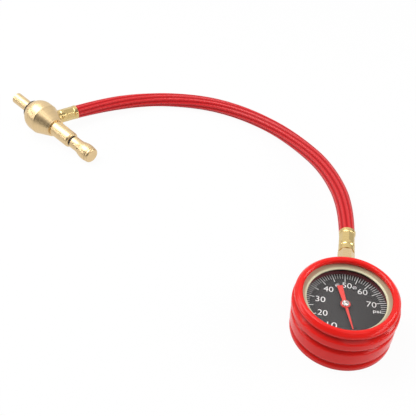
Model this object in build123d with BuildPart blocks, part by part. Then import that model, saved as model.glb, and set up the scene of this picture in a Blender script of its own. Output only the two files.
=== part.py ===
from build123d import *
import os
from math import atan, cos, pi, radians, sin, sqrt, tan

# Tire deflator with a dial gauge, in millimetres.
# The gauge lies on its back at the origin, its dial facing +Z and its stem pointing along +Y.
# A hose joins the stem to a brass valve head that lies on the same surface: a slide-valve
# housing, a core tube that screws onto the tyre valve, and a plunger that draws the valve core.

# Gauge boot: its walls are measured outward from the case
boot_floor = 2.5
boot_foot_wall = 3.9
boot_foot_top = 3.6
boot_band_wall = 4.3
boot_band_start = 8.9
boot_band_end = 18.2
boot_upper_wall = 4.9
boot_upper_start = 24.4
boot_upper_end = 29.6
boot_low_groove_wall = 2.45
boot_low_groove_level = 5.8
boot_middle_groove_wall = 2.2
boot_middle_groove_level = 20.4
boot_top_groove_wall = 2.0
boot_top_groove_level = 31.7
boot_foot_fillet = 1.2
boot_shoulder_fillet = 2.4
boot_groove_fillet = 0.5
boot_lip_wall = 0.56
boot_lip_rise = 2.5
boot_lip_length = 6.8
boot_lip_thickness = 5.0
boot_lip_lean = 45.7

# Gauge case, bezel and lens
case_radius = 32.0
case_wall = 1.0
case_edge_fillet = 1.6
case_top = 31.6
snug = 0.05
bezel_wall = 1.05
bezel_thickness = 1.2
bezel_top = 33.2
bezel_width = 5.0
bezel_drop = 0.6
bezel_hem = 26.4
lens_thickness = 2.0
gasket_thickness = 0.8
gasket_width = 2.4
spacer_width = 2.0
loose = 0.3

# Dial and pointer
dial_top = 25.5
dial_thickness = 0.8
dial_hole = 2.4
dial_screw_angle = 19.4
dial_screw_ring = 18.0
screw_shank = 0.9
screw_head = 1.75
screw_head_height = 0.8
screw_slot = 0.45
zero_angle = 164.5
scale_sweep = 290.0
pointer_height = 1.1
pointer_thickness = 0.5
pointer_tip_length = 21.3
pointer_tail_length = 16.8
pointer_tip_width = 0.7
pointer_neck_width = 2.2
pointer_tail_width = 4.0
pointer_hub_radius = 2.7
pointer_hub_height = 1.0
cap_radius = 1.75
cap_height = 0.8

# Gauge movement
socket_width = 17.0
socket_front = 15.0
socket_top = 22.0
socket_arm_width = 10.0
socket_arm_end = -17.6
socket_arm_thickness = 4.0
socket_arm_overlap = 1.0
socket_fillet = 1.2
post_radius = 2.6
case_screw_radius = 1.25
case_screw_head = 2.5
case_screw_length = 7.0
plate_thickness = 1.0
plate_gap = 5.5
plate_width = 15.0
plate_front = 7.6
plate_level = 14.0
pillar_radius = 1.2
pillar_places = [(-5.9, 5.2), (5.9, 5.2), (-5.9, -15.4)]
mounting_screw_places = [(3.4, -5.0), (-3.4, -5.0)]
gear_module = 0.25
pinion_teeth = 10
sector_full_teeth = 100
sector_teeth = 12
tooth_backlash = 0.05
gear_spread = 0.03
pinion_start = 15.6
pinion_end = 18.5
sector_thickness = 1.0
sector_level = 17.0
sector_first_tooth = 55.8
sector_hub_radius = 1.8
sector_tail_length = 6.0
sector_tail_angle = -76.5
sector_tail_width = 2.4
spindle_radius = 0.8
collet_radius = 2.0
arbor_radius = 0.7
shaft_clearance = 0.05
hairspring_level = 18.8
hairspring_width = 0.45
hairspring_outer = 6.0
hairspring_strip = 0.16
hairspring_turns = 4
stud_radius = 0.55
movement_screw_head = 1.5

# Bourdon tube and link
tube_ring = 24.0
tube_half_width = 1.3
tube_half_height = 3.6
tube_wall = 0.35
tube_level = 15.0
tube_start_angle = 102.0
tube_end_angle = 325.0
tip_sweep = 10.0
ear_width = 3.4
tip_thickness = 1.0
tip_pin_radius = 19.3
link_thickness = 0.6
link_width = 2.0
link_gap = 0.1
pin_radius = 0.45
pin_clearance = 0.05

# Stem, hose ends and hose
stem_height = 17.5
neck_radius = 5.2
neck_length = 3.5
neck_overlap = 3.0
stem_thread_radius = 4.4
stem_thread_length = 8.2
stem_bore = 1.6
nut_flats = 11.1
nut_gap = 0.9
nut_length = 20.3
nut_chamfer = 0.9
insert_thread_radius = 4.0
insert_thread_length = 6.0
insert_collar_radius = 6.15
stem_collar = 4.4
head_collar = 2.4
insert_bore = 1.7
barb_start = 1.5
barb_root_radius = 2.7
barb_crest_radius = 3.15
barb_pitch = 4.2
barb_count = 3
ferrule_length = 16.8
ferrule_radius = 6.1
ferrule_chamfer = 1.2
ferrule_chamfer_drop = 0.4
ferrule_sides = 8
ferrule_crimp_apothem = 5.7
ferrule_crimp_start = 4.4
ferrule_crimp_run_out = 1.3
ferrule_flare = 3.4
ferrule_mouth_radius = 6.45
ferrule_mouth_wall = 0.25
hose_radius = 5.9
hose_bore_radius = 3.2
hose_crimped_radius = 5.0
hose_end_run = 40.8
hose_stem_run = 43.5
hose_points = [
    (-196.0, 243.2, 6.4),
    (-148.3, 247.6, 6.2),
    (-111.3, 240.6, 6.15),
    (-75.4, 222.4, 6.9),
    (-46.8, 196.6, 9.3),
    (-18.9, 159.8, 13.6),
]

# Valve head: stations run along the tool axis from the housing's widest circle to the knob
head_place = (-282.9, 180.9)
head_heading = -32.0
housing_radius = 14.6
housing_sphere_centre = -1.9
housing_edge = 4.3
housing_end = 19.5
housing_end_radius = 8.8
housing_front_radius = 8.4
port_station = 6.0
port_lean = 12.0
port_roll = -4.0
port_sink = 3.2
port_boss_radius = 6.6
port_wall = 1.27
port_passage = 1.8
rod_radius = 5.2
rod_end = -36.5
neck_tube_radius = 7.15
neck_tube_front = 9.5
neck_tube_end = 39.6
running = 0.08
valve_travel = 10.0
chamber_radius = 6.3
front_seal_inset = 2.24
rear_seal_inset = 3.9
chamber_inset = 4.34
seal_section = 0.85
seal_seat = 0.05
seal_groove_extra = 0.25
vent_station = -7.2
vent_radius = 1.3
vent_count = 6
clip_thickness = 1.05
clip_outer_radius = 8.9
clip_inner_radius = 4.75
clip_relief_radius = 6.4
clip_prong_width = 3.0
clip_prong_turn = 78.0
clip_mouth_width = 8.6
clip_mouth_turn = -55.0
clip_seat = 0.1
clip_groove_radius = 4.65
valve_bore_radius = 3.9
valve_bore_depth = 10.0
chuck_seal_thickness = 1.8
chuck_seal_radius = 4.2
chuck_seal_hole = 2.95
core_bore_radius = 3.15
cap_thread_radius = 5.6
cap_thread_length = 9.4
cap_nose_length = 3.2
cap_nose_fillet = 2.4
plunger_radius = 2.0
plunger_travel = 26.0
piston_station = 0.4
piston_length = 3.6
piston_radius = 3.05
piston_groove_radius = 1.95
piston_seal_section = 0.55
gripper_length = 8.0
gripper_radius = 2.65
gripper_bore = 1.5
gripper_bore_depth = 5.0
gripper_slot = 1.3
gripper_slot_depth = 3.4
bumper_radius = 4.95
bumper_thickness = 1.5
knob_waist_radius = 5.6
knob_waist_length = 6.6
knob_chamfer = 0.7
knob_flank_station = 57.0
knob_flank_radius = 6.75
knob_peak_station = 62.5
knob_radius = 7.5
knob_line_station = 66.2
knob_line_radius = 7.05
knob_line_width = 0.35
knob_line_depth = 0.3
knob_end = 69.6
knob_end_fillet = 2.2
knob_rest_station = 63.5
knob_bore_end = 62.0
knob_pin_station = 55.6
knob_pin_radius = 0.75
knob_pin_turn = 153.0

os.makedirs("parts", exist_ok=True)


def save(piece, name):
    """Label a finished piece and write it to its own file."""
    piece.part.label = name
    export_step(piece.part, f"parts/{name}.step")


def turned(outline, plane, axis):
    """A solid turned about an axis from a closed outline of straight lines."""
    with BuildPart() as piece:
        with BuildSketch(plane):
            with BuildLine():
                Polyline(*outline, close=True)
            make_face()
        revolve(axis=axis)
    return piece


def torus_ring(ring_radius, section_radius, plane, axis, station):
    """A round-section ring about an axis, its section centred at a station and a radius."""
    with BuildPart() as piece:
        with BuildSketch(plane):
            with Locations((station, ring_radius)):
                Circle(section_radius)
        revolve(axis=axis)
    return piece


# Levels that follow from the stack of the gauge
case_back = boot_floor
case_inside = case_back + case_wall
case_bore = case_radius - case_wall
fit_radius = case_bore - loose
lens_top = bezel_top - bezel_thickness
lens_bottom = lens_top - lens_thickness
gasket_bottom = lens_bottom - gasket_thickness
dial_bottom = dial_top - dial_thickness
back_plate_top = plate_level + plate_thickness
front_plate_bottom = back_plate_top + plate_gap
front_plate_top = front_plate_bottom + plate_thickness
bezel_radius = case_radius + snug + bezel_wall
bezel_opening = case_radius - bezel_width
boot_outer = case_radius + max(boot_foot_wall, boot_band_wall, boot_upper_wall)
neck_end = case_radius + neck_length
nut_start = boot_outer + nut_gap
nut_end = nut_start + nut_length
stem_thread_end = nut_start + stem_thread_length

# Rubber boot: a cup with a foot and two bands, and a thick lip that leans in over the bezel
foot, lower_band, upper_band = (
    case_radius + wall for wall in (boot_foot_wall, boot_band_wall, boot_upper_wall)
)
grooves = [
    (case_radius + boot_low_groove_wall, boot_low_groove_level),
    (case_radius + boot_middle_groove_wall, boot_middle_groove_level),
    (case_radius + boot_top_groove_wall, boot_top_groove_level),
]
lip_place = (case_radius + boot_lip_wall, bezel_top + boot_lip_rise)
boot_shoulders = [
    (foot, boot_foot_top),
    (lower_band, boot_band_start),
    (lower_band, boot_band_end),
    (upper_band, boot_upper_start),
    (upper_band, boot_upper_end),
]
boot_outline = [(0, 0), (foot, 0), boot_shoulders[0], grooves[0]]
boot_outline += [*boot_shoulders[1:3], grooves[1], *boot_shoulders[3:], grooves[2]]
boot_outline += [
    (grooves[2][0], lip_place[1]),
    (bezel_radius + snug, lip_place[1]),
    (bezel_radius + snug, bezel_hem - loose),
    (case_radius + snug, bezel_hem - loose),
    (case_radius + snug, boot_floor),
    (0, boot_floor),
]


def corners(sketch, places):
    """The corners of a sketch on an upright plane that lie at the given radii and levels."""
    return sketch.vertices().filter_by(
        lambda v: min(abs(v.X - radius) + abs(v.Y - z) for radius, z in places) < 0.01
    )


with BuildPart() as boot:
    with BuildSketch(Plane.XZ) as boot_section:
        with BuildLine():
            Polyline(*boot_outline, close=True)
        make_face()
        fillet(corners(boot_section, boot_shoulders), boot_shoulder_fillet)
        fillet(corners(boot_section, [(foot, 0)]), boot_foot_fillet)
        fillet(corners(boot_section, grooves), boot_groove_fillet)
        with Locations(lip_place):
            SlotOverall(boot_lip_length, boot_lip_thickness, rotation=-boot_lip_lean)
        with Locations((bezel_radius + snug, bezel_top)):
            Rectangle(bezel_radius, bezel_top - bezel_hem, align=(Align.MAX, Align.MAX), mode=Mode.SUBTRACT)
    revolve(axis=Axis.Z)
    with BuildSketch(Plane.XZ.offset(-case_bore)):
        with Locations((0, stem_height)):
            Circle(neck_radius + loose)
    extrude(amount=case_bore - boot_outer - nut_gap, mode=Mode.SUBTRACT)
save(boot, "rubber_boot")

# Steel case: a drawn cup with a rounded heel and a hole for the stem
screw_ring = [(-5.6, 19.6), (5.6, 19.6)]
with BuildPart() as case:
    with BuildSketch(Plane.XZ) as case_section:
        with BuildLine():
            Polyline(
                (0, case_back),
                (case_radius, case_back),
                (case_radius, case_top),
                (case_bore, case_top),
                (case_bore, case_inside),
                (0, case_inside),
                close=True,
            )
        make_face()
        heel = case_section.vertices().sort_by(Axis.X).filter_by(lambda v: v.Y < case_back + 0.01)
        fillet(heel[-1:], case_edge_fillet)
    revolve(axis=Axis.Z)
    with BuildSketch(Plane.XZ.offset(-socket_front)):
        with Locations((0, stem_height)):
            Circle(neck_radius + loose)
    extrude(amount=-case_radius, mode=Mode.SUBTRACT)
    for place in screw_ring:
        with BuildSketch(Plane.XY.offset(case_back)):
            with Locations(place):
                Circle(case_screw_head)
        extrude(amount=case_screw_head - case_screw_radius, taper=45, mode=Mode.SUBTRACT)
        with BuildSketch(Plane.XY.offset(case_back)):
            with Locations(place):
                Circle(case_screw_radius + shaft_clearance)
        extrude(amount=case_wall * 2, mode=Mode.SUBTRACT)
save(case, "gauge_case")

# Bezel: a brass ring pressed over the case, its edge rolled down onto the lens
bezel = turned(
    [
        (bezel_opening, lens_top),
        (bezel_opening, bezel_top - bezel_drop),
        (bezel_opening + bezel_drop * 2, bezel_top),
        (bezel_radius, bezel_top),
        (bezel_radius, bezel_hem),
        (case_radius + snug, bezel_hem),
        (case_radius + snug, lens_top),
    ],
    Plane.XZ,
    Axis.Z,
)
save(bezel, "bezel_ring")

# Lens, its gasket and the spacer that holds them off the dial
with BuildPart() as lens:
    with BuildSketch(Plane.XY.offset(lens_bottom)):
        Circle(fit_radius)
    extrude(amount=lens_thickness)
    chamfer(lens.edges().group_by(Axis.Z)[-1], bezel_wall / 4)
save(lens, "lens")

with BuildPart() as gasket:
    with BuildSketch(Plane.XY.offset(gasket_bottom)):
        Circle(fit_radius)
        Circle(fit_radius - gasket_width, mode=Mode.SUBTRACT)
    extrude(amount=gasket_thickness)
save(gasket, "lens_gasket")

with BuildPart() as spacer:
    with BuildSketch(Plane.XY.offset(dial_top)):
        Circle(fit_radius)
        Circle(fit_radius - spacer_width, mode=Mode.SUBTRACT)
    extrude(amount=gasket_bottom - dial_top)
save(spacer, "dial_spacer")

# Dial plate with its centre hole and two screw holes
dial_screw_across = dial_screw_ring * sin(radians(dial_screw_angle))
dial_screw_up = dial_screw_ring * cos(radians(dial_screw_angle))
dial_screw_places = [(-dial_screw_across, dial_screw_up), (dial_screw_across, dial_screw_up)]
with BuildPart() as dial:
    with BuildSketch(Plane.XY.offset(dial_bottom)):
        Circle(fit_radius)
        Circle(dial_hole, mode=Mode.SUBTRACT)
        with Locations(*dial_screw_places):
            Circle(screw_shank + shaft_clearance, mode=Mode.SUBTRACT)
    extrude(amount=dial_thickness)
save(dial, "dial_plate")

# Dial screws: slotted round heads, their shanks in the posts of the socket
with BuildPart() as dial_screws:
    with BuildSketch(Plane.XY.offset(dial_top)):
        with Locations(*dial_screw_places):
            Circle(screw_head)
    extrude(amount=screw_head_height)
    fillet(dial_screws.edges().group_by(Axis.Z)[-1], screw_head_height / 2)
    with BuildSketch(Plane.XY.offset(dial_top + screw_head_height)):
        with Locations(*dial_screw_places):
            Rectangle(2 * screw_head, screw_slot)
    extrude(amount=-screw_head_height / 2, mode=Mode.SUBTRACT)
    with BuildSketch(Plane.XY.offset(socket_top)):
        with Locations(*dial_screw_places):
            Circle(screw_shank)
    extrude(amount=dial_top - socket_top)
save(dial_screws, "dial_screws")

# Stem socket: a brass block inside the case, with posts for the dial, an arm for the
# movement, and a threaded stem that leaves through the case wall
def radial_plane(angle):
    """An upright plane through the gauge's axis, its local x pointing out at an angle."""
    out = Vector(cos(radians(angle)), sin(radians(angle)), 0)
    return Plane(origin=(0, 0, 0), x_dir=out, z_dir=out.cross(Vector(0, 0, 1)))


def tube_section(growth, angle):
    """The flattened oval of the Bourdon tube, grown by an amount, at an angle round the case."""
    with BuildSketch(radial_plane(angle)) as section:
        with Locations((tube_ring, tube_level)):
            SlotOverall(
                2 * (tube_half_height + growth),
                2 * (tube_half_width + growth),
                rotation=90,
            )
    return section.sketch


with BuildPart() as socket:
    with BuildSketch(Plane.XY.offset(case_inside)):
        with Locations((0, (socket_front + case_radius) / 2)):
            Rectangle(socket_width, case_radius - socket_front)
        Circle(case_bore - snug, mode=Mode.INTERSECT)
    extrude(amount=socket_top - case_inside)
    fillet(socket.edges().filter_by(Axis.Z).group_by(Axis.Y)[0], socket_fillet)
    with BuildSketch(Plane.XY.offset(socket_top)):
        with Locations(*dial_screw_places):
            Circle(post_radius)
    extrude(amount=dial_bottom - socket_top)
    with BuildSketch(Plane.XY.offset(plate_level)):
        arm_start = socket_front + socket_arm_overlap
        with Locations((0, (socket_arm_end + arm_start) / 2)):
            Rectangle(socket_arm_width, arm_start - socket_arm_end)
    extrude(amount=-socket_arm_thickness)
    with BuildSketch(Plane.XZ.offset(-(case_bore - neck_overlap))):
        with Locations((0, stem_height)):
            Circle(neck_radius)
    extrude(amount=-(neck_end - case_bore + neck_overlap))
    with BuildSketch(Plane.XZ.offset(-neck_end)):
        with Locations((0, stem_height)):
            Circle(stem_thread_radius)
    extrude(amount=-(stem_thread_end - neck_end))
    chamfer(socket.faces().sort_by(Axis.Y)[-1].edges(), 0.6)
    with BuildSketch(Plane.XZ.offset(-stem_thread_end)):
        with Locations((0, stem_height)):
            Circle(stem_bore)
    extrude(amount=stem_thread_end - tube_ring, mode=Mode.SUBTRACT)
    with BuildSketch(Plane.XY.offset(dial_bottom)):
        with Locations(*dial_screw_places):
            Circle(screw_shank + shaft_clearance)
    extrude(amount=-(dial_bottom - socket_top), mode=Mode.SUBTRACT)
    with BuildSketch(Plane.XY.offset(plate_level)):
        with Locations(*mounting_screw_places):
            Circle(screw_shank + shaft_clearance)
    extrude(amount=-socket_arm_thickness, mode=Mode.SUBTRACT)
    with BuildSketch(Plane.XY.offset(case_back)):
        with Locations(*screw_ring):
            Circle(case_screw_radius + shaft_clearance)
    extrude(amount=case_screw_length, mode=Mode.SUBTRACT)
    with BuildSketch(Plane.XY.offset(case_back)):
        with Locations(*screw_ring):
            Circle(case_screw_head)
    extrude(amount=case_screw_head - case_screw_radius, taper=45, mode=Mode.SUBTRACT)
    tube_seat = tube_section(shaft_clearance, tube_start_angle)
    revolve(tube_seat, axis=Axis.Z, revolution_arc=30, mode=Mode.SUBTRACT)
    with BuildSketch(Plane.YZ):
        with Locations((tube_ring - tube_half_width / 3, stem_height - tube_wall)):
            Circle(tube_half_width / 2)
    extrude(amount=-tube_ring * sin(radians(tube_start_angle - 90)), mode=Mode.SUBTRACT)
save(socket, "stem_socket")

# Countersunk screws through the case's back into the socket
with BuildPart() as case_screws:
    for place in screw_ring:
        with BuildSketch(Plane.XY.offset(case_back)):
            with Locations(place):
                Circle(case_screw_head - shaft_clearance)
        extrude(amount=case_screw_head - case_screw_radius, taper=45)
        with BuildSketch(Plane.XY.offset(case_back)):
            with Locations(place):
                Circle(case_screw_radius)
        extrude(amount=case_screw_length - shaft_clearance)
    with BuildSketch(Plane.XY.offset(case_back)):
        with Locations(*screw_ring):
            Rectangle(2 * case_screw_head, screw_slot)
    extrude(amount=screw_slot, mode=Mode.SUBTRACT)
save(case_screws, "case_screws")

# Bourdon tube: a flattened tube bent round the case, open into the socket
with BuildPart() as bourdon:
    tube_arc = tube_end_angle - tube_start_angle
    revolve(tube_section(0, tube_start_angle), axis=Axis.Z, revolution_arc=tube_arc)
    revolve(
        tube_section(-tube_wall, tube_start_angle),
        axis=Axis.Z,
        revolution_arc=tube_arc,
        mode=Mode.SUBTRACT,
    )
save(bourdon, "bourdon_tube")

# Tip piece: closes the tube's free end and carries a slotted ear for the link
arbor_distance = gear_module * (pinion_teeth + sector_full_teeth) / 2 + gear_spread
arbor_place = Vector(0, -arbor_distance)
tail_pin = arbor_place + Vector(sector_tail_length, 0).rotate(Axis.Z, sector_tail_angle)
tip_angle = tube_end_angle + tip_sweep / 2
tip_pin = Vector(tip_pin_radius, 0).rotate(Axis.Z, tip_angle)
link_run = tip_pin - tail_pin
sector_swing = scale_sweep * pinion_teeth / sector_full_teeth
ear_top = sector_level + sector_thickness
link_level = ear_top + link_gap
with BuildPart() as tube_tip:
    revolve(tube_section(0, tube_end_angle), axis=Axis.Z, revolution_arc=tip_sweep)
    ear_plane = Plane(origin=(0, 0, ear_top), x_dir=tip_pin, z_dir=(0, 0, 1))
    with BuildSketch(ear_plane):
        with Locations(((tip_pin_radius + tube_ring) / 2, 0)):
            Rectangle(tube_ring - tip_pin_radius, ear_width)
        with Locations((tip_pin_radius, 0)):
            Circle(ear_width / 2)
    extrude(amount=-tip_thickness)
    with BuildSketch(Plane.XY.offset(ear_top)):
        swing_centre = tip_pin - (tail_pin - arbor_place)
        pin_path = CenterArc(
            (swing_centre.X, swing_centre.Y), sector_tail_length, sector_tail_angle, sector_swing + 1
        )
        SlotArc(pin_path, 2 * (pin_radius + pin_clearance))
    extrude(amount=-tip_thickness, mode=Mode.SUBTRACT)
save(tube_tip, "tube_tip")

# Movement plates with their bearing holes, on the socket's arm
plate_back = socket_arm_end + 0.2
bearing_places = [(0, 0), (arbor_place.X, arbor_place.Y)]
bearing_radii = [spindle_radius, arbor_radius]
screw_holes = [mounting_screw_places, pillar_places]
plate_levels = [plate_level, front_plate_bottom]
plates = []
for level, holes in zip(plate_levels, screw_holes):
    with BuildPart() as plate:
        with BuildSketch(Plane.XY.offset(level)):
            with Locations((0, (plate_front + plate_back) / 2)):
                RectangleRounded(plate_width, plate_front - plate_back, pillar_radius)
            for place, radius in zip(bearing_places, bearing_radii):
                with Locations(place):
                    Circle(radius + shaft_clearance, mode=Mode.SUBTRACT)
            with Locations(*holes):
                Circle(screw_shank + shaft_clearance, mode=Mode.SUBTRACT)
        extrude(amount=plate_thickness)
    plates.append(plate)
save(plates[0], "movement_back_plate")
save(plates[1], "movement_front_plate")

with BuildPart() as pillars:
    with BuildSketch(Plane.XY.offset(back_plate_top)):
        with Locations(*pillar_places):
            Circle(pillar_radius + screw_shank / 2)
            Circle(screw_shank + shaft_clearance, mode=Mode.SUBTRACT)
    extrude(amount=plate_gap)
save(pillars, "movement_pillars")

with BuildPart() as movement_screws:
    for places, top, depth in (
        (pillar_places, front_plate_top, plate_thickness + plate_gap / 2),
        (mounting_screw_places, back_plate_top, plate_thickness + socket_arm_thickness / 2),
    ):
        with BuildSketch(Plane.XY.offset(top)):
            with Locations(*places):
                Circle(movement_screw_head)
        extrude(amount=screw_slot)
        with BuildSketch(Plane.XY.offset(top)):
            with Locations(*places):
                Circle(screw_shank)
        extrude(amount=-depth)
save(movement_screws, "movement_screws")


def tooth_outline(pitch_radius, angle, outward):
    """Four corners of one gear tooth, its flanks narrowing away from the root."""
    pitch_half = pi * gear_module / 4 - tooth_backlash
    slope = tan(radians(20))
    tip = pitch_radius + 0.85 * gear_module * outward
    root = pitch_radius - 1.15 * gear_module * outward
    corners = []
    for radius, side in ((root, -1), (tip, -1), (tip, 1), (root, 1)):
        half = pitch_half - (radius - pitch_radius) * outward * slope
        corners.append(Vector(radius, side * half).rotate(Axis.Z, angle))
    return corners


# Pinion and spindle in one: pivot, gear, collet for the hairspring, and the pointer's taper
pinion_pitch = gear_module * pinion_teeth / 2
pointer_bottom = dial_top + pointer_height
spindle_top = pointer_bottom + pointer_hub_height
with BuildPart() as spindle:
    for low, high, radius in (
        (plate_level + shaft_clearance, pinion_start, spindle_radius),
        (pinion_start, pinion_end, pinion_pitch - 1.1 * gear_module),
        (pinion_end, front_plate_bottom - shaft_clearance, collet_radius),
        (front_plate_bottom - shaft_clearance, spindle_top, spindle_radius),
    ):
        with BuildSketch(Plane.XY.offset(low)):
            Circle(radius)
        extrude(amount=high - low)
    with BuildSketch(Plane.XY.offset(pinion_start)):
        for tooth in range(pinion_teeth):
            with BuildLine():
                turn = -90 + tooth * 360 / pinion_teeth
                Polyline(*tooth_outline(pinion_pitch, turn, 1), close=True)
            make_face()
    extrude(amount=pinion_end - pinion_start)
save(spindle, "pinion_spindle")

# Sector gear: toothed rim, web, hub and a tail for the link
sector_pitch = gear_module * sector_full_teeth / 2
sector_root = sector_pitch - 1.1 * gear_module
tooth_step = 360 / sector_full_teeth
sector_span = sector_teeth * tooth_step
sector_plane = Plane(origin=arbor_place + Vector(0, 0, sector_level), z_dir=(0, 0, 1))
with BuildPart() as sector:
    with BuildSketch(sector_plane):
        with BuildLine():
            first = sector_first_tooth - tooth_step / 2
            last = first + sector_span
            CenterArc((0, 0), sector_root, first, sector_span)
            Polyline(
                Vector(sector_root, 0).rotate(Axis.Z, first),
                Vector(sector_hub_radius, 0).rotate(Axis.Z, first),
                Vector(sector_hub_radius, 0).rotate(Axis.Z, last),
                Vector(sector_root, 0).rotate(Axis.Z, last),
            )
        make_face()
        Circle(sector_hub_radius + arbor_radius)
        with Locations(Vector(sector_tail_length / 2, 0).rotate(Axis.Z, sector_tail_angle)):
            Rectangle(sector_tail_length, sector_tail_width, rotation=sector_tail_angle)
        with Locations(Vector(sector_tail_length, 0).rotate(Axis.Z, sector_tail_angle)):
            Circle(sector_tail_width / 2)
            Circle(pin_radius + pin_clearance, mode=Mode.SUBTRACT)
        for tooth in range(sector_teeth):
            with BuildLine():
                turn = sector_first_tooth + tooth * tooth_step
                Polyline(*tooth_outline(sector_pitch, turn, 1), close=True)
            make_face()
        Circle(arbor_radius, mode=Mode.SUBTRACT)
    extrude(amount=sector_thickness)
save(sector, "sector_gear")

with BuildPart() as arbor:
    with BuildSketch(Plane(origin=arbor_place + Vector(0, 0, plate_level + shaft_clearance))):
        Circle(arbor_radius)
    extrude(amount=front_plate_top - plate_level - 2 * shaft_clearance)
save(arbor, "sector_arbor")

# Link from the sector's tail to the tube's tip, with its two pins
link_length = link_run.length
link_plane = Plane(origin=tail_pin + Vector(0, 0, link_level), x_dir=link_run, z_dir=(0, 0, 1))
with BuildPart() as link:
    with BuildSketch(link_plane):
        with Locations((link_length / 2, 0)):
            SlotCenterToCenter(link_length, link_width)
        with Locations((0, 0), (link_length, 0)):
            Circle(pin_radius, mode=Mode.SUBTRACT)
    extrude(amount=link_thickness)
save(link, "link")

with BuildPart() as link_pins:
    with BuildSketch(link_plane.offset(link_thickness)):
        with Locations((0, 0), (link_length, 0)):
            Circle(pin_radius)
    extrude(amount=-(link_thickness + link_gap + sector_thickness))
save(link_pins, "link_pins")

# Hairspring: a flat spiral strip from just outside the collet to a stud under the front plate
spring_inner = collet_radius + shaft_clearance
spring_pitch = (hairspring_outer - spring_inner) / hairspring_turns


def spiral_points(offset_out):
    """Points along a flat spiral, one every 30 degrees, shifted outward by an amount."""
    steps = hairspring_turns * 12
    return [
        Vector(spring_inner + offset_out + spring_pitch * step / 12, 0).rotate(Axis.Z, 30 * step + 180)
        for step in range(steps + 1)
    ]


inner_side = spiral_points(0)
outer_side = spiral_points(hairspring_strip)
with BuildPart() as hairspring:
    with BuildSketch(Plane.XY.offset(hairspring_level)):
        with BuildLine():
            Spline(*inner_side)
            Line(inner_side[-1], outer_side[-1])
            Spline(*outer_side)
            Line(outer_side[0], inner_side[0])
        make_face()
    extrude(amount=hairspring_width)
save(hairspring, "hairspring")

with BuildPart() as stud:
    with BuildSketch(Plane.XY.offset(front_plate_bottom)):
        with Locations((-(hairspring_outer + hairspring_strip + stud_radius + shaft_clearance), 0)):
            Circle(stud_radius)
    extrude(amount=-(front_plate_bottom - hairspring_level))
save(stud, "hairspring_stud")

# Pointer: a slim tip, a widening tail and a round boss, at rest on the dial's zero
pointer_direction = Vector(0, 1, 0).rotate(Axis.Z, -zero_angle)
pointer_plane = Plane(origin=(0, 0, pointer_bottom), x_dir=pointer_direction, z_dir=(0, 0, 1))
with BuildPart() as pointer:
    with BuildSketch(pointer_plane):
        with BuildLine():
            Polyline(
                (pointer_tip_length, pointer_tip_width / 2),
                (0, pointer_neck_width / 2),
                (-pointer_tail_length, pointer_tail_width / 2),
                (-pointer_tail_length, -pointer_tail_width / 2),
                (0, -pointer_neck_width / 2),
                (pointer_tip_length, -pointer_tip_width / 2),
                close=True,
            )
        make_face()
        Circle(pointer_hub_radius)
    extrude(amount=pointer_thickness)
    with BuildSketch(pointer_plane):
        Circle(pointer_hub_radius)
    extrude(amount=pointer_hub_height)
    with BuildSketch(pointer_plane):
        Circle(spindle_radius)
    extrude(amount=pointer_hub_height, mode=Mode.SUBTRACT)
save(pointer, "pointer")

with BuildPart() as cap:
    with BuildSketch(pointer_plane.offset(pointer_hub_height)):
        Circle(cap_radius)
    extrude(amount=cap_height)
    fillet(cap.edges().group_by(Axis.Z)[-1], cap_height * 0.6)
save(cap, "pointer_cap")

# Hose ends. Stations run from the collar's face toward the hose
head_turn = radians(head_heading)
head_slope = atan((housing_radius - knob_radius) / (knob_rest_station - housing_edge))
head_height = housing_radius * cos(head_slope) + housing_edge * sin(head_slope)
head_origin = Vector(head_place[0], head_place[1], head_height)
head_axis = Vector(cos(head_slope) * cos(head_turn), cos(head_slope) * sin(head_turn), -sin(head_slope))
head_side = Vector(-sin(head_turn), cos(head_turn), 0)
head_up = head_axis.cross(head_side)
head_line = Axis(head_origin, head_axis)
head_plane = Plane(origin=head_origin, x_dir=head_axis, z_dir=-head_side)
port_flat = head_side * cos(radians(port_roll)) + head_up * sin(radians(port_roll))
port_axis = port_flat * cos(radians(port_lean)) + head_axis * sin(radians(port_lean))
port_origin = head_origin + head_axis * port_station
port_face = housing_radius - port_sink
front_bore = rod_radius + running
rear_bore = neck_tube_radius + running
port_thread_depth = port_face - rear_bore - port_wall
hose_head_face = port_origin + port_axis * (port_face + head_collar)
stem_axis = Vector(0, 1, 0)
hose_stem_face = Vector(0, nut_end + stem_collar, stem_height)
flare_start = ferrule_length - ferrule_flare
mouth_inner = ferrule_mouth_radius - ferrule_mouth_wall


def run_plane(origin, direction):
    """A plane holding an axis: local x along it, local y across it, for turned outlines."""
    return Plane(origin=origin, x_dir=direction, z_dir=direction.cross(head_up))


def cross_plane(origin, direction, station):
    """A plane square to an axis at a station, its local y as near upright as it can be."""
    level = Vector(0, 0, 1).cross(direction)
    return Plane(origin=origin + direction * station, x_dir=level, z_dir=direction)


def hose_insert(origin, direction, collar, thread_length):
    """Threaded insert with a collar and a barbed tail for the hose."""
    outline = [
        (-collar - thread_length, insert_bore),
        (-collar - thread_length, insert_thread_radius),
        (-collar, insert_thread_radius),
        (-collar, insert_collar_radius),
        (0, insert_collar_radius),
        (0, barb_root_radius),
    ]
    for barb in range(barb_count):
        start = barb_start + barb * barb_pitch
        outline += [(start, barb_root_radius), (start, barb_crest_radius)]
    tail = barb_start + barb_count * barb_pitch
    outline += [(tail, barb_root_radius), (tail, insert_bore)]
    return turned(outline, run_plane(origin, direction), Axis(origin, direction))


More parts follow.
